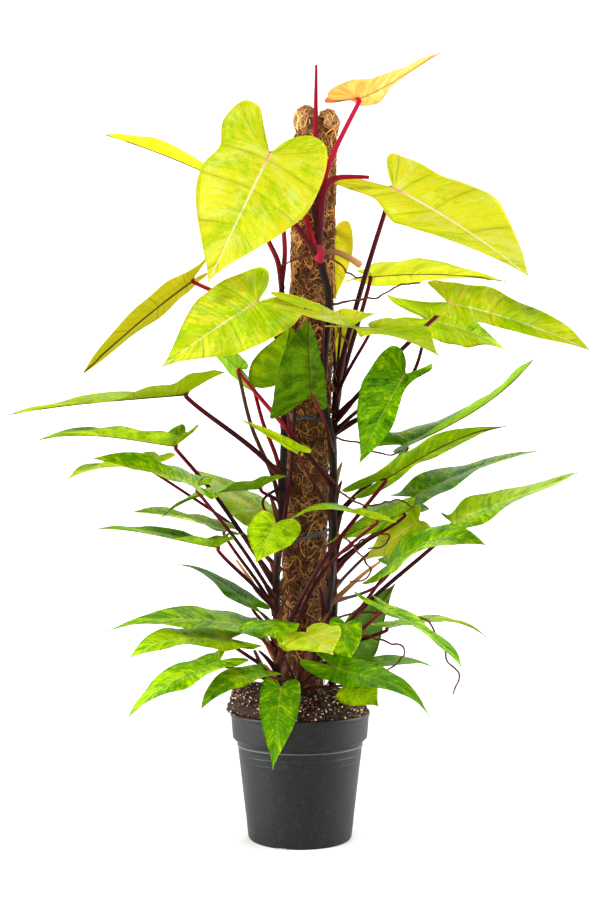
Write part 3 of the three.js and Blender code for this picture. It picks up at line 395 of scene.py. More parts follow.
# Half outlines from the back lobe to the tip: place along, then place out from the midrib
outlines = {
    "heart": ((-.6, .18), (-1, .48), (-.94, .78), (-.35, .95), (.13, 1), (.3, .95), (.46, .79), (.64, .52),
              (.81, .23), (.92, .07)),
    "waisted": ((-.6, .3), (-1, .5), (-.95, .78), (-.25, .93), (.12, .79), (.26, .89), (.41, .87),
              (.6, .67), (.81, .32), (.93, .1)),
    "shouldered": ((-.6, .2), (-1, .5), (-.75, .85), (-.1, .96), (.16, .97), (.31, .94), (.45, 1.02),
              (.6, .82), (.79, .57), (.92, .27)),
    "hooked": ((-.42, .2), (-.8, .36), (-1, .8), (-.66, .81), (-.16, .67), (.03, .79), (.15, 1),
              (.26, .99), (.49, .68), (.82, .2)),
    "broad": ((-.5, .22), (-1, .55), (-.85, .76), (-.3, .83), (.16, .81), (.31, .9), (.49, 1), (.69, .72),
              (.85, .4), (.94, .17)),
    "arrow": ((-.5, .3), (-1, .74), (-.72, .86), (-.3, .84), (.06, .88), (.22, .98), (.42, .92),
              (.62, .75), (.8, .5), (.92, .23)),
    "pinched": ((-.3, .5), (-1, 1), (-.8, 1.06), (-.2, .85), (.08, .54), (.21, .46), (.35, .6), (.55, .76),
              (.73, .62), (.88, .3)),
    "winged": ((-.3, .3), (-.75, .62), (-1, .96), (-.78, 1), (-.4, .93), (.02, .86), (.3, .74), (.6, .52),
              (.82, .27), (.93, .1)),
}


def bladeFrame(leaf):
    joint = np.array(leaf["joint"], float)
    along = np.array(leaf["tip"], float) - joint
    length = np.linalg.norm(along)
    along /= length
    faces = np.array(leaf["faces"], float)
    up = unit(faces - along * faces.dot(along))
    return joint, along, up, np.cross(along, up), length


def bladePoints(leaf, share, side, outward):  # share along the midrib, side out from it
    joint, along, up, across, length = bladeFrame(leaf)
    hand = 1 if side.max() > 0 else -1
    half = pair(leaf["width"], hand) / 2
    bow = np.where(share > 0, 4 * share * (1 - share), 4 * share)
    lobe = ease(0.12 - share, 0, 0.2)
    lift = pair(leaf["fold"], hand)
    fold = np.radians(lift + (leaf.get("lobeFold", lift) - lift) * lobe)
    reach = abs(side) * half
    swing = np.sin(14 * outward + (1 if hand > 0 else 3) + leaf["height"])
    ruffle = leaf.get("wave", bladeForm["wave"])
    wave = ruffle * half * swing * side**2
    flutter = np.sin(23 * outward + leaf["height"] * hand) + 0.5 * np.sin(41 * outward + 2 * leaf["height"])
    ripple = (bladeForm["ripple"] + 0.35 * ruffle) * half * abs(side) ** 3 * flutter
    rise = reach * np.sin(fold) - bladeForm["cup"] * half * side**2 + wave + ripple
    forward = np.maximum(share, 0)
    hook = 6.75 * leaf.get("hook", 0) * forward**2 * (1 - share)
    turn = leaf.get("twist", 0) * forward
    run = side * half * np.cos(fold)
    aside = run * np.cos(turn) - rise * np.sin(turn)
    upward = run * np.sin(turn) + rise * np.cos(turn) + (bow * leaf["arch"] + hook) * length
    return joint + along * (share * length)[..., None] + across * aside[..., None] + up * upward[..., None]


def makeBlade(number, leaf):
    _, _, up, _, length = bladeFrame(leaf)
    grade = 0 if length > bladeForm["large"] else 1  # large blades have finer meshes
    ribs, steps = bladeForm["ribs"][grade], bladeForm["steps"][grade]
    size = (ribs + 1) * (steps + 1)
    points, quads, rib, out, reach, ahead = [], [], [], [], [], []
    for hand in (-1, 1):
        corners = [(0, 0), *outlines[pair(leaf.get("shape", "heart"), hand)], (1, 0)]
        lobes = pair(leaf["lobes"], hand)
        corners = [(x * lobes if x < 0 else x, y) for x, y in corners]
        edge = smoothPath(corners, ribs + 1)
        u = np.linspace(0, 1, ribs + 1)[:, None]
        w = np.linspace(0, 1, steps + 1)[None] ** 0.9
        base = np.maximum(0, (u - 0.42) / 0.58) ** 1.1
        share = base + (edge[:, :1] - base) * w**1.25
        side = hand * np.maximum(edge[:, 1:], 0) * w
        outward = u + 0 * w
        place = bladePoints(leaf, share, side, outward)
        half = pair(leaf["width"], hand) / 2
        # between two side veins the blade swells, and it drops steeply at each vein
        phase = u * bladeForm["veins"] + 0.12 * w
        swell = np.interp(phase % 1, (0, 0.1, 0.45, 0.86, 1), (-0.5, -0.28, 0.3, 0.5, -0.5))
        swell = bladeForm["pleat"] * min(1.4, half / 55) * swell
        place = place + up * (swell * ease(w, 0, 0.3) * (1 - 0.75 * w**2))[..., None]
        grid = gridFaces(ribs + 1, steps + 1, len(points) * size)
        points.append(place.reshape(-1, 3))
        quads.append(grid if hand < 0 else grid[:, ::-1])
        rib.append(outward.ravel())
        ahead.append(share.ravel())
        out.append((hand * w + 0 * u).ravel())
        reach.append((side * half).ravel())
    points, quads = np.vstack(points), np.vstack(quads)
    rib, out, reach, ahead = (np.concatenate(values) for values in (rib, out, reach, ahead))
    # the normal at each point, from the faces round it
    kept, weld = np.unique(np.round(points, 3), axis=0, return_inverse=True)
    weld = weld.ravel()
    a, b, c, d = (points[quads[:, k]] for k in range(4))
    area = np.cross(c - a, d - b)
    normal = np.zeros_like(kept)
    for k in range(4):
        np.add.at(normal, weld[quads[:, k]], area)
    normal, quads = -unit(normal)[weld], quads[:, ::-1]  # towards the upper side
    # both sides: the blade is thinnest at its edge, and the midrib stands proud underneath
    thick = bladeForm["thickness"] * (1 - 0.45 * abs(out))
    middle = np.clip(rib - 0.4, 0, 1) / 0.6
    ridge = (1.2 + length / 90) * (1 - middle) ** 0.8 * np.exp(-((reach / (1.2 + length / 150)) ** 2))
    upper, lower = points + normal * (thick / 2)[:, None], points - normal * (thick / 2 + ridge)[:, None]
    # the edge between the two sides
    count = len(points)
    rim = []
    for n in (0, 1):
        edge = n * size + np.arange(ribs + 1) * (steps + 1) + steps
        p, q = edge[:-1], edge[1:]
        rim.append(np.stack([p, q, q + count, p + count] if n else [q, p, p + count, q + count], 1))
    rim = np.vstack(rim)
    every = np.vstack([quads, quads[:, ::-1] + count, rim])
    kinds = np.repeat((0, 1, 0), (len(quads), len(quads), len(rim)))
    flat = np.arange(len(every)) >= 2 * len(quads)
    values = {"rib": rib, "out": out, "reach": reach, "ahead": ahead, "run": rib * 1.3 * length,
              "rail": abs(reach) / (length / 130) ** 1.4}
    values = {key: np.tile(value, 2) for key, value in values.items()}  # once for each side
    points = np.vstack([upper, lower])
    return makeMesh(f"blade{number:02d}", points, every, (bladeTop, bladeUnder), flat, kinds, **values,
                    tone=leaf["tone"], seed=7.3 * number, warm=leaf.get("warm", 0.0))


# Leaf finishes: tone runs from a dark green leaf at 0 to a yellow one at 1
leafLook = {
    "stops": (0.0, 0.33, 0.66, 1.0), "shine": 0.04, "glow": 0.2,
    "top": {
        "tones": (shade(30, 74, 0), shade(82, 136, 0), shade(156, 192, 0), shade(214, 214, 40)),
        # veins: the vein colour on darker leaves, then on pale ones, where it is darker: the veins' own
        # colour and painted shade in their grooves
        "veins": (shade(120, 164, 20), shade(158, 170, 8)), "milk": shade(214, 222, 112),
        "gold": shade(212, 198, 4), "edge": shade(222, 214, 30), "roughness": 0.5,
        "orange": (shade(224, 130, 50), shade(240, 178, 96)), "orangeTip": shade(236, 214, 60),
        "midrib": (shade(164, 182, 60), shade(250, 226, 184)), "joint": shade(214, 84, 90),
        "tip": shade(150, 84, 30),
    },
    "under": {
        "tones": (shade(46, 78, 0), shade(96, 136, 2), shade(166, 186, 8), shade(214, 200, 30)),
        "veins": (shade(80, 50, 10), shade(140, 96, 10)), "roughness": 0.62,
        "orange": (shade(238, 154, 62), shade(248, 196, 104)), "orangeVeins": shade(222, 112, 44),
        "midrib": (shade(72, 10, 14), shade(206, 62, 50)), "tip": shade(140, 76, 30),
    },
}


def leafShades(name):
    finish = Finish(name, {"Specular IOR Level": leafLook["shine"], "Subsurface Weight": leafLook["glow"],
                           "Subsurface Scale": 0.001, "Subsurface Radius": (0.7, 1.0, 0.1)})
    names = ("rib", "reach", "run", "out", "ahead", "tone", "seed", "warm", "rail")
    return (finish, *(finish.read(n) for n in names))


def toned(finish, level, colours):  # from the darkest colour to the palest
    stops = leafLook["stops"]
    colour = colours[0]
    for low, high, after in zip(stops, stops[1:], colours[1:]):
        colour = finish.blend(level.within(low, high), colour, after)
    return colour


def leafTopFinish():
    finish, rib, reach, run, out, ahead, tone, seed, warm, rail = leafShades("leafTop")
    look = leafLook["top"]
    far = abs(reach)
    patch = finish.grain(run * 0.024, reach * 0.013, seed, detail=2.0)
    marble = finish.grain(run * 0.13, reach * 0.06, seed + 3.0, detail=6.0, rough=0.7, twist=0.35)
    speck = finish.grain(run * 0.6, reach * 0.45, seed + 9.0, detail=4.0, rough=0.7)
    calm = tone.within(0.6, 0.95)
    level = tone + (patch - 0.5) * 0.75 + ((marble - 0.5) * 1.4 + (speck - 0.5) * 0.6) * (1 - calm * 0.4)
    colour = toned(finish, level, look["tones"])
    # the palest leaves carry milky green and golden patches
    milk = finish.grain(run * 0.045, reach * 0.02, seed + 40.0, detail=7.0, rough=0.7, twist=0.4)
    gold = finish.grain(run * 0.04, reach * 0.035, seed + 50.0, detail=6.0, rough=0.68)
    colour = finish.blend(milk.within(0.48, 0.64) * calm * 0.5, colour, look["milk"])
    colour = finish.blend(gold.within(0.5, 0.64) * calm * 0.6, colour, look["gold"])
    # side veins stand where the phase is a whole number, and fine ones lie between them
    phase = rib * bladeForm["veins"] + abs(out) * 0.12
    vein = phase.stripes(0.03) * (1 - (far * 0.005).within(0.1, 1.1) * 0.7) * patch.within(0.25, 0.5)
    # painted shade in the grooves beside the side veins of pale leaves
    grooveShade = phase.stripes(0.16) * patch.within(0.35, 0.6) * calm
    fine = (rib * bladeForm["veins"] * 6 + patch * 2.0 + speck * 0.6).stripes(0.2) * (1 - calm * 0.75)
    pale = level.within(0.4, 0.95)
    # on pale leaves the veins are drawn darker: their own colour and painted shade in their grooves
    colour = finish.blend(vein * 0.5, colour, finish.blend(pale, *look["veins"]))
    colour = finish.tinted(colour, 1.0 - fine * 0.24 - grooveShade * 0.14 + (speck - 0.5) * 0.34)
    colour = finish.blend(abs(out).within(0.955, 0.99) * pale * 0.6, colour, look["edge"])
    # the orange leaf
    orange = finish.blend(marble.within(0.38, 0.64), *look["orange"])
    orange = finish.blend(ahead.within(0.5, 0.8) * out.within(0.1, 0.7), orange, look["orangeTip"])
    colour = finish.blend(warm, colour, orange)
    # the midrib, pink where it starts, and the dry tip
    middle = 1 - rail.within(0.5 - ahead * 0.4, 1.2 - ahead * 0.8)
    colour = finish.blend(middle * (0.45 + pale * 0.45), colour, finish.blend(pale, *look["midrib"]))
    pink = (1 - abs(ahead).within(0.03, 0.16)) * (1 - far.within(1.0, 2.6))
    colour = finish.blend(pink * (0.2 + pale * 0.55), colour, look["joint"])
    finish.send("Base Color", finish.blend(ahead.within(0.975, 1.0), colour, look["tip"]))
    finish.send("Roughness", look["roughness"] + (marble - 0.5) * 0.3 + vein * 0.05)
    finish.relief(fine * -0.8 + speck * 0.5 + vein * -1.0, 0.7, 0.8)
    return finish.material


def leafUnderFinish():
    finish, rib, reach, run, out, ahead, tone, seed, warm, rail = leafShades("leafUnder")
    look = leafLook["under"]
    cloud = finish.grain(run * 0.09, reach * 0.03, seed + 20.0, detail=6.0, rough=0.65)
    speck = finish.grain(run * 0.6, reach * 0.4, seed + 31.0, detail=3.0)
    level = tone + (cloud - 0.5) * 0.8 + (speck - 0.5) * 0.4
    colour = toned(finish, level, look["tones"])
    phase = rib * bladeForm["veins"] + abs(out) * 0.12
    vein = phase.stripes(0.03) * (1 - (abs(reach) * 0.01).within(0.1, 1.0) * 0.8)
    fine = (rib * bladeForm["veins"] * 5 + speck * 0.6).stripes(0.15)
    colour = finish.blend(vein * 0.4, colour, finish.blend(tone, *look["veins"]))
    colour = finish.tinted(colour, 0.94 + speck * 0.2 - fine * 0.12)
    orange = finish.blend(cloud.within(0.35, 0.65), *look["orange"])
    colour = finish.blend(warm, colour, finish.blend(vein * 0.35, orange, look["orangeVeins"]))
    middle = 1 - rail.within(0.6, 1.15)
    colour = finish.blend(middle * 0.9, colour, finish.blend(warm, *look["midrib"]))
    finish.send("Base Color", finish.blend(ahead.within(0.975, 1.0), colour, look["tip"]))
    finish.send("Roughness", look["roughness"] + (speck - 0.5) * 0.2)
    finish.relief(vein * 0.8 + speck * 0.4 + fine * 0.3, 0.45, 0.6)
    return finish.material


bladeTop, bladeUnder = leafTopFinish(), leafUnderFinish()


def stalkFinish():
    finish = Finish("stalkSkin", {"Specular IOR Level": 0.1})
    length, around = finish.read("length"), finish.read("around")
    at = finish.place()
    streak = finish.grain(around * 1.6, length * 0.03, length * 0.011, detail=4.0)
    fleck = finish.noise(at, scale=0.55, detail=4.0, rough=0.7)
    colour = finish.tinted(finish.read("tint", "Color"), 0.45 + streak * 0.9 + (fleck - 0.5) * 0.6)
    finish.send("Base Color", colour)
    finish.send("Roughness", 0.36 + fleck * 0.3)
    finish.relief(streak * 0.7 + fleck * 0.5, 0.5, 0.5)
    return finish.material


def plasticFinish(name, colour, pale, roughness, grain, lines=()):
    finish = Finish(name, {"Specular IOR Level": 0.22})
    at = finish.place()
    cloud = finish.noise(at, scale=0.014, detail=4.0)
    speck = finish.noise(at, scale=grain, detail=3.0, rough=0.7)
    dust = finish.noise(at, scale=0.09, detail=5.0, rough=0.7).within(0.5, 0.85)
    shine = finish.blend(dust * 0.35 + speck.within(0.5, 0.75) * 0.5, colour, pale)
    high = finish.node("ShaderNodeSeparateXYZ", {}, (at,), 2)
    for level, share in lines:  # painted highlights along the moulded lines: height and share
        shine = finish.blend((1 - abs(high - level).within(0.2, 1.1)) * share, shine, shade(128, 130, 134))
    finish.send("Base Color", finish.tinted(shine, 0.86 + cloud * 0.28))
    finish.send("Roughness", roughness + (cloud - 0.5) * 0.15 + (speck - 0.5) * 0.2)
    finish.relief(speck, 0.12, 0.35)
    return finish.material


def coirFinish(name, colours=None):  # without colours each fibre brings its own
    finish = Finish(name, {"Specular IOR Level": 0.2})
    at = finish.place()
    patch = finish.noise(at, scale=0.035, detail=3.0)
    weave = finish.noise(at, scale=0.35, detail=5.0, rough=0.75, twist=1.6)
    if colours:
        # the darkest core colour is painted shade in the gaps between fibres, over the coir's own brown
        colour = finish.blend(weave.within(0.42, 0.66), *colours)
        # painted shade: darker towards the soil, where the leaves shade the wrap
        colour = finish.tinted(colour, (0.4 + patch * 1.1) * (0.5 + finish.read("high") * 0.9))
    else:
        colour = finish.tinted(finish.read("tint", "Color"), 0.7 + patch * 0.6)
    finish.send("Base Color", colour)
    finish.send("Roughness", 0.75 + weave * 0.2)
    finish.relief(weave, 1.6 if colours else 0.15, 0.9)
    return finish.material


def earthFinish(name, colours=None):  # without colours each crumb brings its own
    finish = Finish(name, {"Specular IOR Level": 0.25})
    at = finish.place()
    clod = finish.noise(at, scale=0.11, detail=6.0, rough=0.7)
    grain = finish.noise(at, scale=0.8, detail=4.0, rough=0.75)
    if colours:
        colour = finish.blend(clod.within(0.35, 0.7), *colours)
        colour = finish.tinted(colour, 0.5 + grain * 0.9)
    else:
        colour = finish.tinted(finish.read("tint", "Color"), 0.65 + grain * 0.7)
    finish.send("Base Color", colour)
    finish.send("Roughness", 0.7 + grain * 0.28)
    finish.relief(grain + clod, 1.0, 0.8)
    return finish.material


# Stems by points in millimetres, and what grows from them: spikes, bare and cut stalks, roots and sheaths
vineRows = {
    "left": ((-34, -64, 205), (-34, -62, 262), (-38, -56, 340), (-40, -52, 400), (-37, -50, 480),
             (-30, -48, 600), (-28, -45, 720), (-33, -38, 830), (-31, -28, 950)),
    "front": ((-6, -80, 205), (-4, -80, 262), (20, -74, 318), (42, -66, 376), (51, -61, 440),
             (54, -59, 510), (56, -57, 570), (55, -56, 650), (46, -57, 710), (38, -60, 770),
             (44, -58, 850), (50, -56, 920), (42, -56, 957), (33, -56, 990), (31, -56, 1008)),
    "right": ((54, 24, 205), (56, 26, 275), (57, 24, 380), (58, 22, 480), (58, 20, 600), (60, 17, 700),
             (63, 14, 785)),
}
offshootRows = [
    dict(vine="front", radii=(7, 5.6, 4.6, 2.2), path=((31, -56, 1004), (30, -58, 1090), (27, -56, 1207),
         (28, -52, 1325)), tints=(maroon, redStalk)),
    dict(vine="front", radii=(7.5, 7.6, 7, 5.8, 4.6, 3.8, 3.2), path=((31, -56, 1004), (34, -65, 1060),
         (39, -68, 1095), (50, -67, 1116), (66, -65, 1125), (90, -63, 1127), (118, -60, 1127)),
         tints=(maroon, redStalk)),
    dict(vine="front", radii=(4.5, 5, 5.6, 6.5), path=((33, -56, 996), (60, -50, 1000), (84, -32, 994),
         (104, -12, 986)), tints=(brownSheath, tanSheath)),
    dict(vine="left", radii=(4, 3), path=((-31, -29, 940), (-38, -50, 983), (-56, -62, 1022),
         (-75, -66, 1078)), tints=(maroon, redStalk)),
    dict(vine="left", radii=(3.5, 3), path=((-32, -28, 946), (-26, -50, 1000), (-31, -56, 1069)),
         tints=(maroon, pinkStalk)),
    dict(vine="left", radii=(5, 2), path=((-40, -52, 392), (-70, -62, 421), (-86, -68, 446),
         (-107, -72, 475)), tints=(brownSheath, tanSheath)),
    dict(vine="front", radii=(5, 2), path=((46, -64, 396), (87, -62, 434), (110, -74, 455),
         (133, -82, 472)), tints=(brownSheath, tanSheath)),
    dict(vine="front", radii=(1.6, 1.2), path=((32, -56, 994), (20, -66, 962), (5, -55, 934))),
    dict(vine="front", radii=(1.5, 1), path=((32, -56, 996), (0, -66, 987), (-36, -58, 973))),
    dict(vine="front", radii=(1.5, 1), path=((32, -56, 996), (65, -64, 977), (92, -52, 959),
         (107, -42, 957))),
    dict(vine="front", radii=(1.5, 1), path=((49, -56, 908), (103, -44, 919), (138, -54, 924),
         (162, -62, 938), (205, -72, 943))),
    dict(vine="front", radii=(1.4, 1), path=((48, -57, 899), (54, -66, 883), (68, -62, 859),
         (83, -50, 841))),
    dict(vine="front", radii=(1.4, 1), path=((51, -56, 684), (98, -60, 670), (144, -80, 650),
         (168, -90, 657))),
    dict(vine="front", radii=(1.4, 1), path=((56, -57, 600), (95, -96, 570), (125, -124, 566),
         (162, -118, 574), (187, -104, 562))),
    dict(vine="front", radii=(1.4, 1), path=((55, -58, 525), (87, -80, 500), (116, -95, 462),
         (103, -92, 442), (83, -84, 439))),
    dict(vine="front", radii=(1.3, 1), path=((53, -60, 474), (104, -72, 508), (146, -92, 519),
         (139, -97, 499), (113, -92, 494))),
    dict(vine="front", radii=(1.4, 1), path=((38, -67, 363), (111, -60, 346), (159, -70, 335),
         (177, -76, 322), (159, -82, 303), (141, -86, 290))),
    dict(vine="front", radii=(1.5, 1), path=((41, -66, 375), (112, -42, 386), (160, -60, 384),
         (200, -80, 381), (232, -92, 348), (243, -96, 310), (262, -98, 288), (251, -102, 256))),
    dict(vine="left", radii=(2, 1.4), path=((-40, -53, 384), (-40, -68, 366), (-30, -70, 397),
         (-17, -72, 421))),
    dict(vine="left", radii=(2, 1.4), path=((-40, -52, 406), (-24, -66, 433), (-2, -64, 444),
         (-8, -60, 470))),
    dict(vine="front", radii=(5, 10.5, 10.2, 5), path=((35, -57, 978), (33, -57, 990), (31.5, -57, 1002),
         (30.5, -57, 1016)), tints=(knobPink, knobPink)),
    dict(vine="front", radii=(5.2, 4.6, 4), path=((30, -56, 1000), (19, -66, 1024), (8, -70, 1066),
         (-4, -74, 1112)), tints=(redStalk, redStalk)),
    dict(vine="left", radii=(3.2, 2.8, 2.4), path=((-38, -50, 470), (-24, -66, 560), (-14, -70, 640),
         (-8, -64, 748)), tints=(maroon, maroon)),
    dict(vine="left", radii=(3.4, 2.8, 2.4), path=((-32, -49, 560), (-48, -35, 620), (-82, -62, 700),
         (-104, -74, 790)), tints=(maroon, brownSheath)),
    dict(vine="left", radii=(3.4, 2.8, 2.4), path=((-32, -49, 575), (-38, -40, 640), (-64, -30, 710),
         (-84, 6, 784)), tints=(maroon, redStalk)),
    dict(vine="left", radii=(6, 5, 2), path=((-36, -58, 300), (-52, -68, 330), (-60, -72, 362)),
         tints=(brownSheath, tanSheath)),
    dict(vine="left", radii=(6.5, 5, 2.5), path=((-34, -62, 268), (-58, -76, 290), (-76, -84, 326)),
         tints=(brownSheath, brownSheath)),
    dict(vine="front", radii=(6.5, 6, 3), path=((-4, -80, 262), (-24, -92, 288), (-12, -100, 314)),
         tints=(darkStem, brownSheath)),
]
vineForm = {
    "radius": 7.0, "steps": 150, "sides": 18, "nodeGap": 44, "stalkSides": 10, "stalkSteps": 26,
    "clinging": 26, "driedFrom": 256, "crowdedTo": 350, "driedTo": {"left": 560, "front": 470, "right": 600},
    "driedTints": (brownSheath, brownSheath, rootBrown, tanSheath, maroon),
    "stalkTints": (maroon, maroon, shade(112, 10, 30)),
    "stemTints": {"left": (stemBrown, stemBrown, darkStem, maroon),
                  "front": (stemBrown,) * 5 + (darkStem,) * 9 + (maroon, redStalk),
                  "right": (stemBrown, darkStem, maroon)},
}
stalkSkin = stalkFinish()


def stemPath(vine):
    return smoothPath(vineRows[vine], 400)


def stemPoint(vine, height):
    path = stemPath(vine)
    return path[np.argmin(abs(path[:, 2] - height))]


def stalkPath(leaf):
    joint, _, up, _, length = bladeFrame(leaf)
    start = stemPoint(leaf["vine"], leaf["height"])
    end, knee = joint - up * 0.6, joint - up * 7
    run = np.linalg.norm(knee - start)
    rise = np.array([0, 0, 0.08 * run])
    first = start + (knee - start) * 0.35 + rise
    second = start + (knee - start) * 0.75 - up * 0.06 * run + rise * 0.4
    if "via" in leaf:  # the curve passes it half way
        first = second = (np.array(leaf["via"]) * 8 - start - knee) / 6
    t = np.linspace(0, 1, vineForm["stalkSteps"])[:, None]
    path = (1 - t) ** 3 * start + 3 * t * (1 - t) ** 2 * first + 3 * t * t * (1 - t) * second + t**3 * knee
    thick = (1.3 + length * 0.0086) * leaf.get("stout", 1)
    return np.vstack([path, knee * 0.45 + end * 0.55, end]), thick


class Bundle:  # many tubes in one mesh, each with its colours
    def __init__(self):
        self.points, self.quads, self.tint, self.along, self.around, self.count = [], [], [], [], [], 0

    def add(self, path, radii, sides, tint, flatten=1.0):
        points, quads, along, around = tube(path, radii, sides, flatten)
        tint = np.asarray(tint, float)
        if tint.ndim > 1:  # colours spread evenly from one end to the other
            places = np.linspace(0, 1, len(tint))
            tint = np.stack([np.interp(along, places, channel) for channel in tint.T], 1)
        length = np.linalg.norm(np.diff(np.asarray(path, float), axis=0), axis=1).sum()
        self.points.append(points)
        self.quads.append(quads + self.count)
        self.tint.append(np.broadcast_to(tint, (len(points), 4)))
        self.along.append(along * length)
        self.around.append(around)
        self.count += len(points)

    def make(self, name, material):
        return makeMesh(name, np.vstack(self.points), np.vstack(self.quads), (material,),
                        tint=np.vstack(self.tint), length=np.concatenate(self.along),
                        around=np.concatenate(self.around))


def addStem(bundle, name):
    steps = vineForm["steps"]
    path = smoothPath(vineRows[name], steps)
    share = np.linspace(0, 1, steps)
    fromNode = 1 - np.abs(((path[:, 2] / vineForm["nodeGap"]) % 1) - 0.5) * 2
    radii = vineForm["radius"] * (1.02 - 0.16 * share) * (1 + 0.12 * np.exp(-((fromNode / 0.1) ** 2)))
    radii[-4:] *= (0.95, 0.8, 0.55, 0.25)
    sway = np.array([lumps(path, 60, 2), lumps(path, 60, 5), 0 * share]).T * 3
    bundle.add(path + sway, radii, vineForm["sides"], vineForm["stemTints"][name])


def addDriedSheaths(bundle, name):  # at the lower nodes
    low, crowded, high = vineForm["driedFrom"], vineForm["crowdedTo"], vineForm["driedTo"][name]
    tints = vineForm["driedTints"]
    t = np.linspace(0, 1, 14)[:, None]
    for height in (*np.arange(low, crowded, 11), *np.arange(crowded, high, 30)):
        base = stemPoint(name, height)
        turn, spread = rng.uniform(-2.9, -0.2), 17 if height > crowded else rng.uniform(17, 42)
        lean = np.array([math.cos(turn), math.sin(turn), 0])
        rise = rng.uniform(26, 62)
        sheath = base + lean * (3 + spread * t**1.6) * (rise / 50) + np.array([0, 0, 1]) * (rise * t)
        tint = tints[rng.integers(0, len(tints))]
        bundle.add(sheath, 5.6 * (1 - t[:, 0]) ** 0.5 + 0.5, 9, (darkStem, tint, tint), flatten=0.45)


def addStalk(bundle, leaf):
    path, tip = stalkPath(leaf)
    t = np.linspace(0, 1, len(path))
    foot, neck = np.exp(-((t / 0.06) ** 2)), np.exp(-(((t - 0.97) / 0.03) ** 2))
    radii = tip * (1 + 0.6 * foot + 0.28 * (1 - t) + 0.2 * neck)
    radii[-1] = tip * 0.7
    bundle.add(path, radii, vineForm["stalkSides"], leaf.get("stalk", vineForm["stalkTints"]))
    clasp = path[:5] + (path[0] - path[5]) * 0.12  # the sheath round the stem at the stalk's foot
    bundle.add(clasp, tip * np.array([2.2, 2.1, 1.9, 1.6, 0.9]), 10, (brownSheath, maroon), flatten=0.75)


def addOffshoot(bundle, row):
    sizes, tints = row["radii"], row.get("tints", (rootBrown, rootBrown))
    path = smoothPath(row["path"], 12 * len(row["path"]))
    radii = np.interp(np.linspace(0, len(sizes) - 1, len(path)), np.arange(len(sizes)), sizes)
    sides, flat = 12, 0.95
    if sizes[0] < 2.5:  # an aerial root wanders
        wander = np.array([lumps(path, 14, k + sizes[0]) for k in (3, 5, 7)]).T * 5
        path = path + wander * np.sin(np.linspace(0, math.pi, len(path)))[:, None] ** 0.6
        radii *= 1.35 + 0.3 * lumps(path, 9, sizes[0])
        sides, flat = 7, 1.0
    elif tints[0] == brownSheath and sizes[-1] < 3.5:  # a dried sheath is flat
        flat = 0.5
    if 3 < sizes[0] <= 4:
        radii *= 1.3
    bundle.add(path, radii, sides, tints, flat)


def addClingingRoots(bundle, name):  # thin roots from the stem round the pole
    draw = np.random.default_rng(len(name))
    stem = stemPath(name)
    reach = coir["radius"] + 3
    for start in stem[(stem[:, 2] > 270) & (stem[:, 2] < 900)][:: len(stem) // vineForm["clinging"]]:
        z = start[2] + draw.uniform(-60, 30)
        turn = math.atan2(start[1], start[0] - poleX(z)) + draw.choice((-1, 1)) * draw.uniform(0.3, 1.1)
        on = np.array([poleX(z) + reach * math.cos(turn), reach * math.sin(turn), z])
        out = unit(start * (1, 1, 0)) * draw.uniform(3, 9)
        middle = (start + on) / 2 + out + (0, 0, draw.uniform(-12, 4))
        path = smoothPath((start, middle, on, on + (draw.uniform(-8, 8), 0, -draw.uniform(4, 18))), 20)
        tints = (maroon, rootBrown, tanSheath) if z > 500 else (rootBrown, maroon)
        bundle.add(path, np.linspace(1.7, 0.8, 20), 6, tints)


def makeVine(name):
    bundle = Bundle()
    addStem(bundle, name)
    addDriedSheaths(bundle, name)
    for leaf in leafRows:
        if leaf["vine"] == name:
            addStalk(bundle, leaf)
    for row in offshootRows:
        if row["vine"] == name:
            addOffshoot(bundle, row)
    addClingingRoots(bundle, name)
    piece = bundle.make("vine" + name.capitalize(), stalkSkin)
    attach(piece, "root")
    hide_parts("vine_" + name)


# Pot: a moulded shell, turned from its profile, then cut for its drain holes and the notches in its foot
pot = {
    "height": 214, "rim": 120, "skirt": 43, "flare": 4.5, "bodyTop": 107.5, "foot": 88, "wall": 2.2,
    "floor": 6, "turns": 160, "easing": 1.1, "black": shade(14, 14, 15), "dust": shade(66, 66, 68),
    "lines": ((134, 0.35, 0.0), (145, 0.5, 0.05), (158, 1.7, 0.55)),  # height, how proud, how bright its painted highlight is
    "holes": 8, "holeRadius": 6, "holeRing": 52, "notches": (-1.95, 0.144, 2.239), "notchHalf": (10.5, 3.2),
}
paintedHighlightLines = [(height + 0.6, bright) for height, _, bright in pot["lines"]]
potPlastic = plasticFinish("potPlastic", pot["black"], pot["dust"], roughness=0.48, grain=0.5,
                           lines=paintedHighlightLines)


def potBody(z):
    return pot["foot"] + (pot["bodyTop"] - pot["foot"]) * z / (pot["height"] - pot["skirt"] - 8)


def cutAway(piece, block):  # two rings of points, the ends of a bar, are taken out of the piece
    count = len(block) // 2
    mesh = bpy.data.meshes.new("cutter")
    sides = [(k, (k + 1) % count, count + (k + 1) % count, count + k) for k in range(count)]
    ends = [tuple(range(count - 1, -1, -1)), tuple(range(count, 2 * count))]
    mesh.from_pydata((block * mm).tolist(), [], ends + sides)
    cutter = bpy.data.objects.new("cutter", mesh)
    bpy.context.scene.collection.objects.link(cutter)
    cut = piece.modifiers.new("cut", "BOOLEAN")
    cut.object, cut.operation, cut.solver = cutter, "DIFFERENCE", "EXACT"
    solid = bpy.data.meshes.new_from_object(piece.evaluated_get(bpy.context.evaluated_depsgraph_get()))
    piece.modifiers.clear()
    piece.data = solid
    bpy.data.objects.remove(cutter)


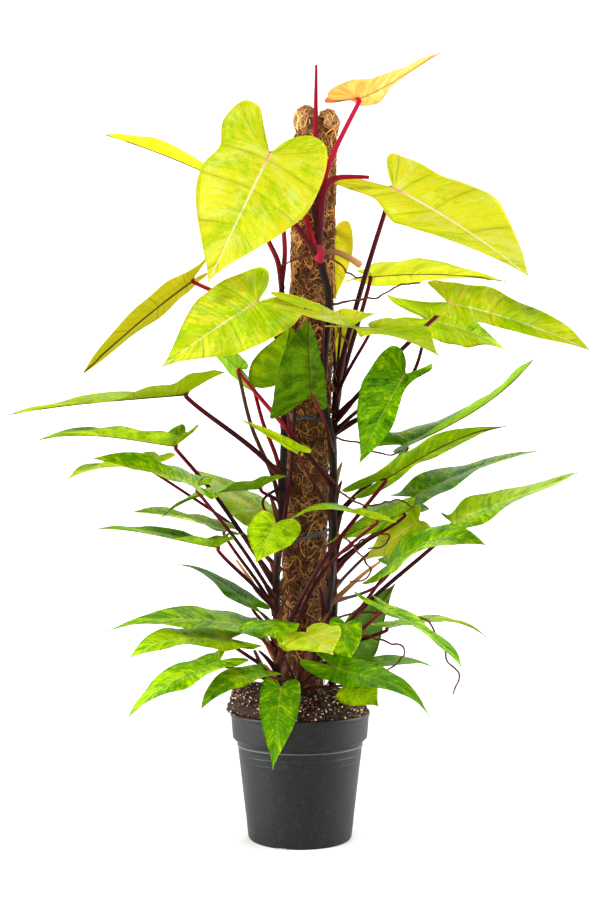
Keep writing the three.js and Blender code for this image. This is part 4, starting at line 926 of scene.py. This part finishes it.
def makePot():
    h, rim, foot, wall, floor = (pot[key] for key in ("height", "rim", "foot", "wall", "floor"))
    skirt = h - pot["skirt"]
    rings = []
    for z, proud, _ in pot["lines"]:
        rings += [(potBody(z - 1.3), z - 1.3), (potBody(z) + proud, z), (potBody(z + 1.3), z + 1.3)]
    outer = [(0, 0), (22, 0), (24, floor), (foot - 7, floor), (foot - 6, 0), (foot - 2, 0),
             (potBody(4), 4), (potBody(60), 60), (potBody(110), 110), *rings, (pot["bodyTop"], skirt - 8),
             (rim - pot["flare"], skirt), (rim - 1.6, h - 7), (rim, h - 5.5), (rim, h - 1), (rim - 1, h)]
    inner = [(rim - 3.5, h), (rim - pot["flare"] - wall, skirt + 2), (pot["bodyTop"] - wall, skirt - 6),
             (potBody(9) - wall, floor + wall), (0, floor + wall)]
    piece = makeMesh("nurseryPot", *lathe(rounded(outer + inner, pot["easing"]), pot["turns"]), (potPlastic,))
    around = np.linspace(0, 2 * math.pi, 25)[:-1]
    ring = np.stack([np.cos(around), np.sin(around)], 1)
    square = np.sign(ring) * abs(ring) ** 0.35  # with eased corners
    hole = np.vstack([np.c_[ring * pot["holeRadius"], np.full(24, d)] for d in (-6, 6)])
    notch = np.vstack([np.c_[np.full(24, d), square * pot["notchHalf"]] for d in (-9, 9)])
    for i in range(pot["holes"]):
        cutAway(piece, (hole + (pot["holeRing"], 0, floor)) @ spun((i + 0.35) * 2 * math.pi / pot["holes"]))
    for turn in pot["notches"]:
        cutAway(piece, (notch + (foot - 1, 0, 0)) @ spun(turn))
    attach(piece, "root")
    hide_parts("pot")


# Soil: a heap in the pot that covers most of the rim, with crumbs, bark and perlite on it
soil = {
    "edge": 222, "crown": 256, "radius": 113.5, "fill": 112.5, "rings": 70, "turns": 150,
    "peat": (shade(14, 8, 4), shade(54, 31, 18)),
    "kinds": (  # crumbs, bark and perlite: how many, least and greatest size, shape, darkest and palest
        (2800, (1.8, 6.4), (1, 0.9, 0.8), shade(15, 8, 5), shade(70, 41, 24)),
        (1300, (2.6, 7.5), (1, 0.6, 0.4), shade(72, 38, 20), shade(164, 106, 66)),
        (1000, (1.6, 4.6), (1, 0.9, 0.8), shade(196, 156, 118), shade(252, 238, 220)),
    ),
}
peat, crumb = earthFinish("peat", soil["peat"]), earthFinish("crumb")


def soilReach(angle):  # how far the heap spreads over the rim, most of all on the left
    left = np.abs((angle - 3.3 + math.pi) % (2 * math.pi) - math.pi)
    return soil["radius"] + 3.5 + 8 * np.exp(-((left / 0.6) ** 2))


def soilHeight(x, y):
    share = np.hypot(x, y) / soilReach(np.arctan2(y, x))
    heap = np.interp(share, (0, 0.2, 0.42, 0.62, 0.8, 0.93, 1), (1, 1, 0.98, 0.9, 0.78, 0.5, -0.08))
    left = 9 * np.exp(-(((x + 96) / 34) ** 2) - (y / 60) ** 2) * ease(1 - share, 0, 0.1)
    return soil["edge"] - 4 + (soil["crown"] - soil["edge"]) * heap - 0.05 * x + left


def makeSoil():
    h, fill = pot["height"], soil["fill"]
    share = np.concatenate([[0], np.linspace(0.03, 1, soil["rings"])])
    angle = np.linspace(0, 2 * math.pi, soil["turns"] + 1)
    reach = soilReach(angle)
    x, y = (share[:, None] * reach * f(angle) for f in (np.cos, np.sin))
    heap = np.stack([x.ravel(), y.ravel(), 0 * x.ravel()], 1)
    closeSeam(heap, len(share))
    rough = 5 * lumps(heap, 15) + 3.4 * lumps(heap, 6, 4) + 1.6 * lumps(heap, 2.6, 9)
    inside = np.repeat(np.minimum(1, 12 * (1.02 - share)), len(angle))
    heap[:, 2] = np.maximum(soilHeight(heap[:, 0], heap[:, 1]) + rough * inside, h + 0.5)
    # below the heap the soil fills the pot
    outline = heap[-len(angle):] * (1, 1, 0) / reach[:, None]
    walls = ((fill, h + 0.3), (fill, h - 6), (fill - 7, h - 45), (84, 10), (0, 10))
    points = np.vstack([heap, *(outline * r + (0, 0, z) for r, z in walls)])
    piece = makeMesh("pottingSoil", points, gridFaces(len(share) + len(walls), len(angle)), (peat,))
    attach(piece, "root")
    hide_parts("soil")


def makeCrumbs():  # small faceted lumps
    g = (1 + 5**0.5) / 2
    ball = unit([(-1, g, 0), (1, g, 0), (-1, -g, 0), (1, -g, 0), (0, -1, g), (0, 1, g),
                 (0, -1, -g), (0, 1, -g), (g, 0, -1), (g, 0, 1), (-g, 0, -1), (-g, 0, 1)])
    sides = np.array([(0, 11, 5), (0, 5, 1), (0, 1, 7), (0, 7, 10), (0, 10, 11), (1, 5, 9), (5, 11, 4),
                      (11, 10, 2), (10, 7, 6), (7, 1, 8), (3, 9, 4), (3, 4, 2), (3, 2, 6), (3, 6, 8),
                      (3, 8, 9), (4, 9, 5), (2, 4, 11), (6, 2, 10), (8, 6, 7), (9, 8, 1)])
    rim = pot["rim"] - 7
    points, quads, tints = [], [], []
    for number, (low, high), shape, dark, pale in soil["kinds"]:
        for i in range(number):
            angle = rng.uniform(0, 2 * math.pi)
            edge = soilReach(angle)
            if i % 4:
                far = edge * 0.985 * rng.uniform(0, 1) ** 0.5
            else:  # one in four lies near the edge of the heap
                far = rng.uniform(0.92 * edge, max(1.01 * edge, rim))
            x, y = far * math.cos(angle), far * math.sin(angle)
            size = low + (high - low) * rng.uniform(0, 1) ** 2
            turn, tilt = rng.uniform(0, 2 * math.pi), rng.uniform(-0.5, 0.5)
            lump = ball * shape * rng.uniform(0.72, 1.25, (12, 1)) * size / 2
            past = np.clip((far - edge) / max(1, rim - edge), 0, 1)
            drop = max(past, rng.uniform(0, 1) * (far > 0.97 * edge))  # from the heap down to the pot's rim
            level = soilHeight(x, y) * (1 - drop) + (pot["height"] + 0.5) * drop
            points.append(lump @ tipped(tilt) @ spun(turn) + (x, y, level + rng.uniform(0.2, 0.5) * size))
            quads.append(sides + 12 * len(quads))
            tints.append(np.broadcast_to(mixed(dark, pale, rng.uniform(0, 1)), (12, 4)))
    quads = np.vstack(quads)
    flat = np.ones(len(quads), bool)
    piece = makeMesh("soilCrumbs", np.vstack(points), quads, (crumb,), flat=flat, tint=np.vstack(tints))
    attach(piece, "root")


# Coir pole: a lumpy core under fibres, with the wrap folded over in two bulges at the top
coir = {
    "radius": 38, "foot": 236, "neck": 1226, "top": 1266, "sides": 84, "rings": 260,
    "bulges": ((-19, 0, 19), (20, -6, 17)),  # place across, how much higher, half width
    "bulgeDepth": 30, "bulgeHeight": 24,
    # core: the wrap's darkest and palest colours; the darkest is painted shade in the gaps between fibres as
    # well as the coir's own brown
    "core": (shade(18, 9, 4), shade(132, 74, 32)),
    "fibres": 4500, "fibreTints": (shade(58, 29, 11), shade(240, 172, 94)),
    "loops": 1300, "loopTints": (shade(96, 50, 20), shade(250, 198, 128)),
}
coirCore, fibre = coirFinish("coirCore", coir["core"]), coirFinish("coirFibre")
alongFibre = np.linspace(-0.5, 0.5, 8)[None]


def poleX(z):
    return 2 + (z - 250) * 0.0265


def poleRadius(z, turn):
    body = coir["radius"] - 1.5 - 3.5 * ease(z, coir["neck"] - 14, coir["neck"]) + 0 * turn
    return body + 1.1 * np.sin(5 * turn + z / 37) * np.sin(z / 53 + 1)


def fibreMesh(name, path, outward, radius, tints):  # many thin three-sided fibres in one mesh
    ahead = unit(np.gradient(path, axis=1))
    side = unit(np.cross(outward, ahead))
    out = np.cross(ahead, side)
    count, steps = path.shape[:2]
    taper = (radius[:, None] * (1 - 0.6 * np.abs(np.linspace(-1, 1, steps)) ** 3))[..., None]
    rings = [path + taper * (side * math.cos(a) + out * math.sin(a)) for a in (0.5, 2.6, 4.7, 0.5)]
    points = np.stack(rings, 2).reshape(-1, 3)
    quads = (gridFaces(steps, 4)[None] + (np.arange(count) * steps * 4)[:, None, None]).reshape(-1, 4)
    tint = np.repeat(tints, steps * 4, 0)
    piece = makeMesh(name, points, quads, (fibre,), tint=tint)
    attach(piece, "root")


def poleSurface(turn, z, lift):
    r = poleRadius(z, turn) + lift
    return np.stack([poleX(z) + r * np.cos(turn), r * np.sin(turn), z], -1)


def bulgePlace(x, rise, wide):  # centre and half sizes
    high = coir["bulgeHeight"]
    return (poleX(coir["top"]) + x, 0, coir["top"] - high + rise), (wide, coir["bulgeDepth"], high)


def makePole():
    foot, cap = coir["foot"], coir["neck"] + 14
    z = np.concatenate([[foot], np.linspace(foot, cap, coir["rings"]), [cap]])
    turn = np.linspace(0, 2 * math.pi, coir["sides"] + 1)
    zz, tt = np.meshgrid(z, turn, indexing="ij")
    points = poleSurface(tt, zz, 0)
    points[0] = (poleX(foot), 0, foot)
    points[-1] = (poleX(coir["neck"]), 0, cap)
    body = points.reshape(-1, 3)
    rough = 1.1 * lumps(body, 13) + 0.9 * lumps(body * (1, 1, 1.6), 5, 3)
    outward = body * (1, 1, 0)
    outward[:, 0] -= poleX(body[:, 2])
    body = body + unit(outward) * (rough * (np.linalg.norm(outward, axis=1) > 1))[:, None]
    closeSeam(body, len(z))
    parts, faces = [body], [gridFaces(len(z), coir["sides"] + 1)[:, ::-1]]
    rows, columns = 28, 45
    lat = np.linspace(-math.pi / 2, math.pi / 2, rows)
    lat, lon = np.meshgrid(lat, np.linspace(0, 2 * math.pi, columns), indexing="ij")
    ball = np.stack([np.cos(lat) * np.cos(lon), np.cos(lat) * np.sin(lon), np.sin(lat)], -1).reshape(-1, 3)
    for x, rise, wide in coir["bulges"]:
        centre, size = bulgePlace(x, rise, wide)
        bulge = ball * size * (1 + 0.05 * lumps(ball * 20, 9, x))[:, None] + centre
        closeSeam(bulge, rows)
        faces.append(gridFaces(rows, columns, sum(len(p) for p in parts))[:, ::-1])
        parts.append(bulge)
    points = np.vstack(parts)
    high = (points[:, 2] - 240) / 1000  # painted shade: the wrap is darker near the soil, where the leaves shade it
    piece = makeMesh("coirWrap", points, np.vstack(faces), (coirCore,), high=high)
    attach(piece, "root")
    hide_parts("coir_pole")


def makeFibres():  # loose fibres over the wrap
    n, t = coir["fibres"], alongFibre
    turn0 = rng.uniform(0, 2 * math.pi, (n, 1))
    z0 = rng.uniform(coir["foot"] + 4, coir["neck"] - 2, (n, 1))
    length = rng.uniform(18, 64, (n, 1)) * rng.uniform(0.5, 1, (n, 1))
    lean, bend = rng.normal(0, 0.9, (n, 1)), rng.normal(0, 1.3, (n, 1))
    heading = lean + bend * t * 2
    run = length * t
    turns = turn0 + run * np.cos(heading) / coir["radius"]
    heights = z0 + run * np.sin(heading) + 0.12 * length * np.sin(6.3 * t + turn0 * 9)
    heights = np.clip(heights, coir["foot"], coir["neck"])
    lift = 0.8 + rng.exponential(1.1, (n, 1)) * (1 - 4 * t * t)
    path = poleSurface(turns, heights, np.minimum(lift, 5))
    outward = path - np.stack([poleX(heights), 0 * heights, heights], -1)
    tints = mixed(*coir["fibreTints"], rng.uniform(0, 1, (n, 1)) ** 1.6)
    # painted shade: fibres lower on the pole are darker, where the leaves shade it
    tints[:, :3] *= 0.5 + 0.9 * (z0 - coir["foot"]) / 1000
    fibreMesh("coirFibres", path, unit(outward), rng.uniform(0.3, 1.0, n), tints)


def makeLoops():  # fibres round the two bulges, some of them pale and loose
    n, t = coir["loops"], alongFibre[..., None]
    centres, sizes = (np.array(rows) for rows in zip(*(bulgePlace(*row) for row in coir["bulges"])))
    which = rng.integers(0, len(centres), n)
    start = unit(rng.normal(0, 1, (n, 3)) + (0, 0, 0.5))
    ahead = unit(np.cross(start, rng.normal(0, 1, (n, 3))))
    angle = t * rng.uniform(0.5, 1.9, (n, 1, 1))
    start, ahead = start[:, None], ahead[:, None]
    ball = unit(start * np.cos(angle) + ahead * np.sin(angle) + 0.18 * np.sin(angle * 3 + start))
    lift = rng.exponential(1.3, (n, 1, 1)) + 2.4 * (rng.uniform(0, 1, (n, 1, 1)) > 0.96)
    path = centres[which][:, None] + ball * (sizes[which][:, None] + 0.5 + lift * (1 - 4 * t**2))
    pale = rng.uniform(0, 1, (n, 1)) ** 1.2 + 0.25 * (lift[:, 0] > 2.4)
    tints = mixed(*coir["loopTints"], pale)
    fibreMesh("coirLoops", path, ball, rng.uniform(0.35, 1.05, n), tints)


# Ties round the pole: name, height, tilt, slack, node, slot
tieRows = (
    ("tieUpper", 716, 0.16, 1.9, "tie_upper", "tie_grey"),
    ("tieMiddle", 511, -0.33, 2.2, "tie_middle", "tie_grey"),
    ("tieLower", 278, -0.2, 1.1, "tie_lower", "tie_green"),
)
tieForm = {"thick": 1.4, "half": 2.5, "easing": 0.5, "turns": 96}
tiePlastic = {
    "tie_grey": plasticFinish("tieGrey", shade(60, 70, 86), shade(104, 114, 126), roughness=0.4, grain=0.7),
    "tie_green": plasticFinish("tieGreen", shade(28, 128, 66), shade(60, 150, 92), roughness=0.4, grain=0.7),
}


def makeTie(name, height, tilt, slack, node, finish):
    inner, half = coir["radius"] + slack, tieForm["half"]
    outer = inner + tieForm["thick"]
    band = [(inner, 0), (inner, -half), (outer, -half), (outer, half), (inner, half), (inner, 0)]
    points, quads = lathe(rounded(band, tieForm["easing"]), tieForm["turns"])
    points[:, 0] /= math.cos(tilt)
    points = points @ tipped(-tilt) + (poleX(height), 0, height)
    piece = makeMesh(name, points, quads, (tiePlastic[finish],))
    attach(piece, "root")
    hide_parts(node)


print("finishes made")
for number, leaf in enumerate(leafRows, 1):
    piece = makeBlade(number, leaf)
    node = f"leaf_{number:02d}"
    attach(piece, "root")
    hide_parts(node)
print("leaves made")
for name in vineRows:
    makeVine(name)
print("vines made")
makePot()
makeSoil()
makeCrumbs()
makePole()
makeFibres()
makeLoops()
for row in tieRows:
    makeTie(*row)
print("pot, soil, pole and ties made")

# Studio: a round pale floor that curves up far away, soft lights, and the camera at the photograph's height
studio = {
    "floor": shade(248, 248, 248), "glow": (0.26, 0.85), "world": 0.1,
    "sweep": ((0, 0), (5000, 0), (6200, 120), (7000, 700), (7400, 1800), (7500, 7000)),
    "eye": (0, -2.2, 0.55), "tilt": 92.94, "lens": 50.68,
    "lights": {  # place, what it shines at, size, power
        "keyLight": ((-0.7, -1.9, 3.0), (0, 0, 0.9), 1.0, 42),
        "leftLight": ((-1.7, -0.5, 0.45), (0, 0, 0.2), 0.9, 54),
        "rightLight": ((1.8, 0.2, 0.5), (0, 0, 0.3), 0.9, 42),
        "backLight": ((0.3, 2.2, 2.4), (0, 0, 0.8), 1.2, 30),
    },
}


def makeFloor():
    paper = Finish("paper", {"Roughness": 0.9, "Specular IOR Level": 0.1, "Emission Strength": 1.0})
    at = paper.place(1.0)
    cloud = paper.noise(at, scale=1.5)
    paper.send("Base Color", paper.tinted(studio["floor"], 0.98 + cloud * 0.04))
    # the far paper glows, most of all behind the plant
    far = paper.node("ShaderNodeVectorMath", {"operation": "LENGTH"}, (at,), 1).within(0.5, 4.5)
    behind = paper.node("ShaderNodeSeparateXYZ", {}, (at,), 1).within(-2.0, 4.0)
    front, back = studio["glow"]
    paper.send("Emission Color", paper.tinted(studio["floor"], far * (front + behind * (back - front))))
    floor = makeMesh("floor", *lathe(studio["sweep"], 96), (paper.material,))


def makeLight(name, place, aim, size, watts):
    light = bpy.data.lights.new(name, "AREA")
    light.shape, light.size, light.energy = "DISK", size, watts
    lamp = bpy.data.objects.new(name, light)
    lamp.location = place
    direction = Vector(aim) - Vector(place)
    lamp.rotation_euler = direction.to_track_quat("-Z", "Y").to_euler()
    bpy.context.scene.collection.objects.link(lamp)


makeFloor()
for name, row in studio["lights"].items():
    makeLight(name, *row)
world = bpy.data.worlds.new("studioAir")
world.use_nodes = True
air = world.node_tree.nodes["Background"].inputs
air["Color"].default_value = (1, 1, 1, 1)
air["Strength"].default_value = studio["world"]
bpy.context.scene.world = world
bpy.context.scene.view_settings.view_transform = "Standard"
lens = bpy.data.cameras.new("camera")
lens.sensor_fit, lens.sensor_height, lens.lens = "VERTICAL", 36, studio["lens"]
lens.clip_end = 50
camera = bpy.data.objects.new("camera", lens)
camera.location = studio["eye"]
camera.rotation_euler = (math.radians(studio["tilt"]), 0, 0)
bpy.context.scene.collection.objects.link(camera)
bpy.context.scene.camera = camera
bpy.context.view_layer.update()
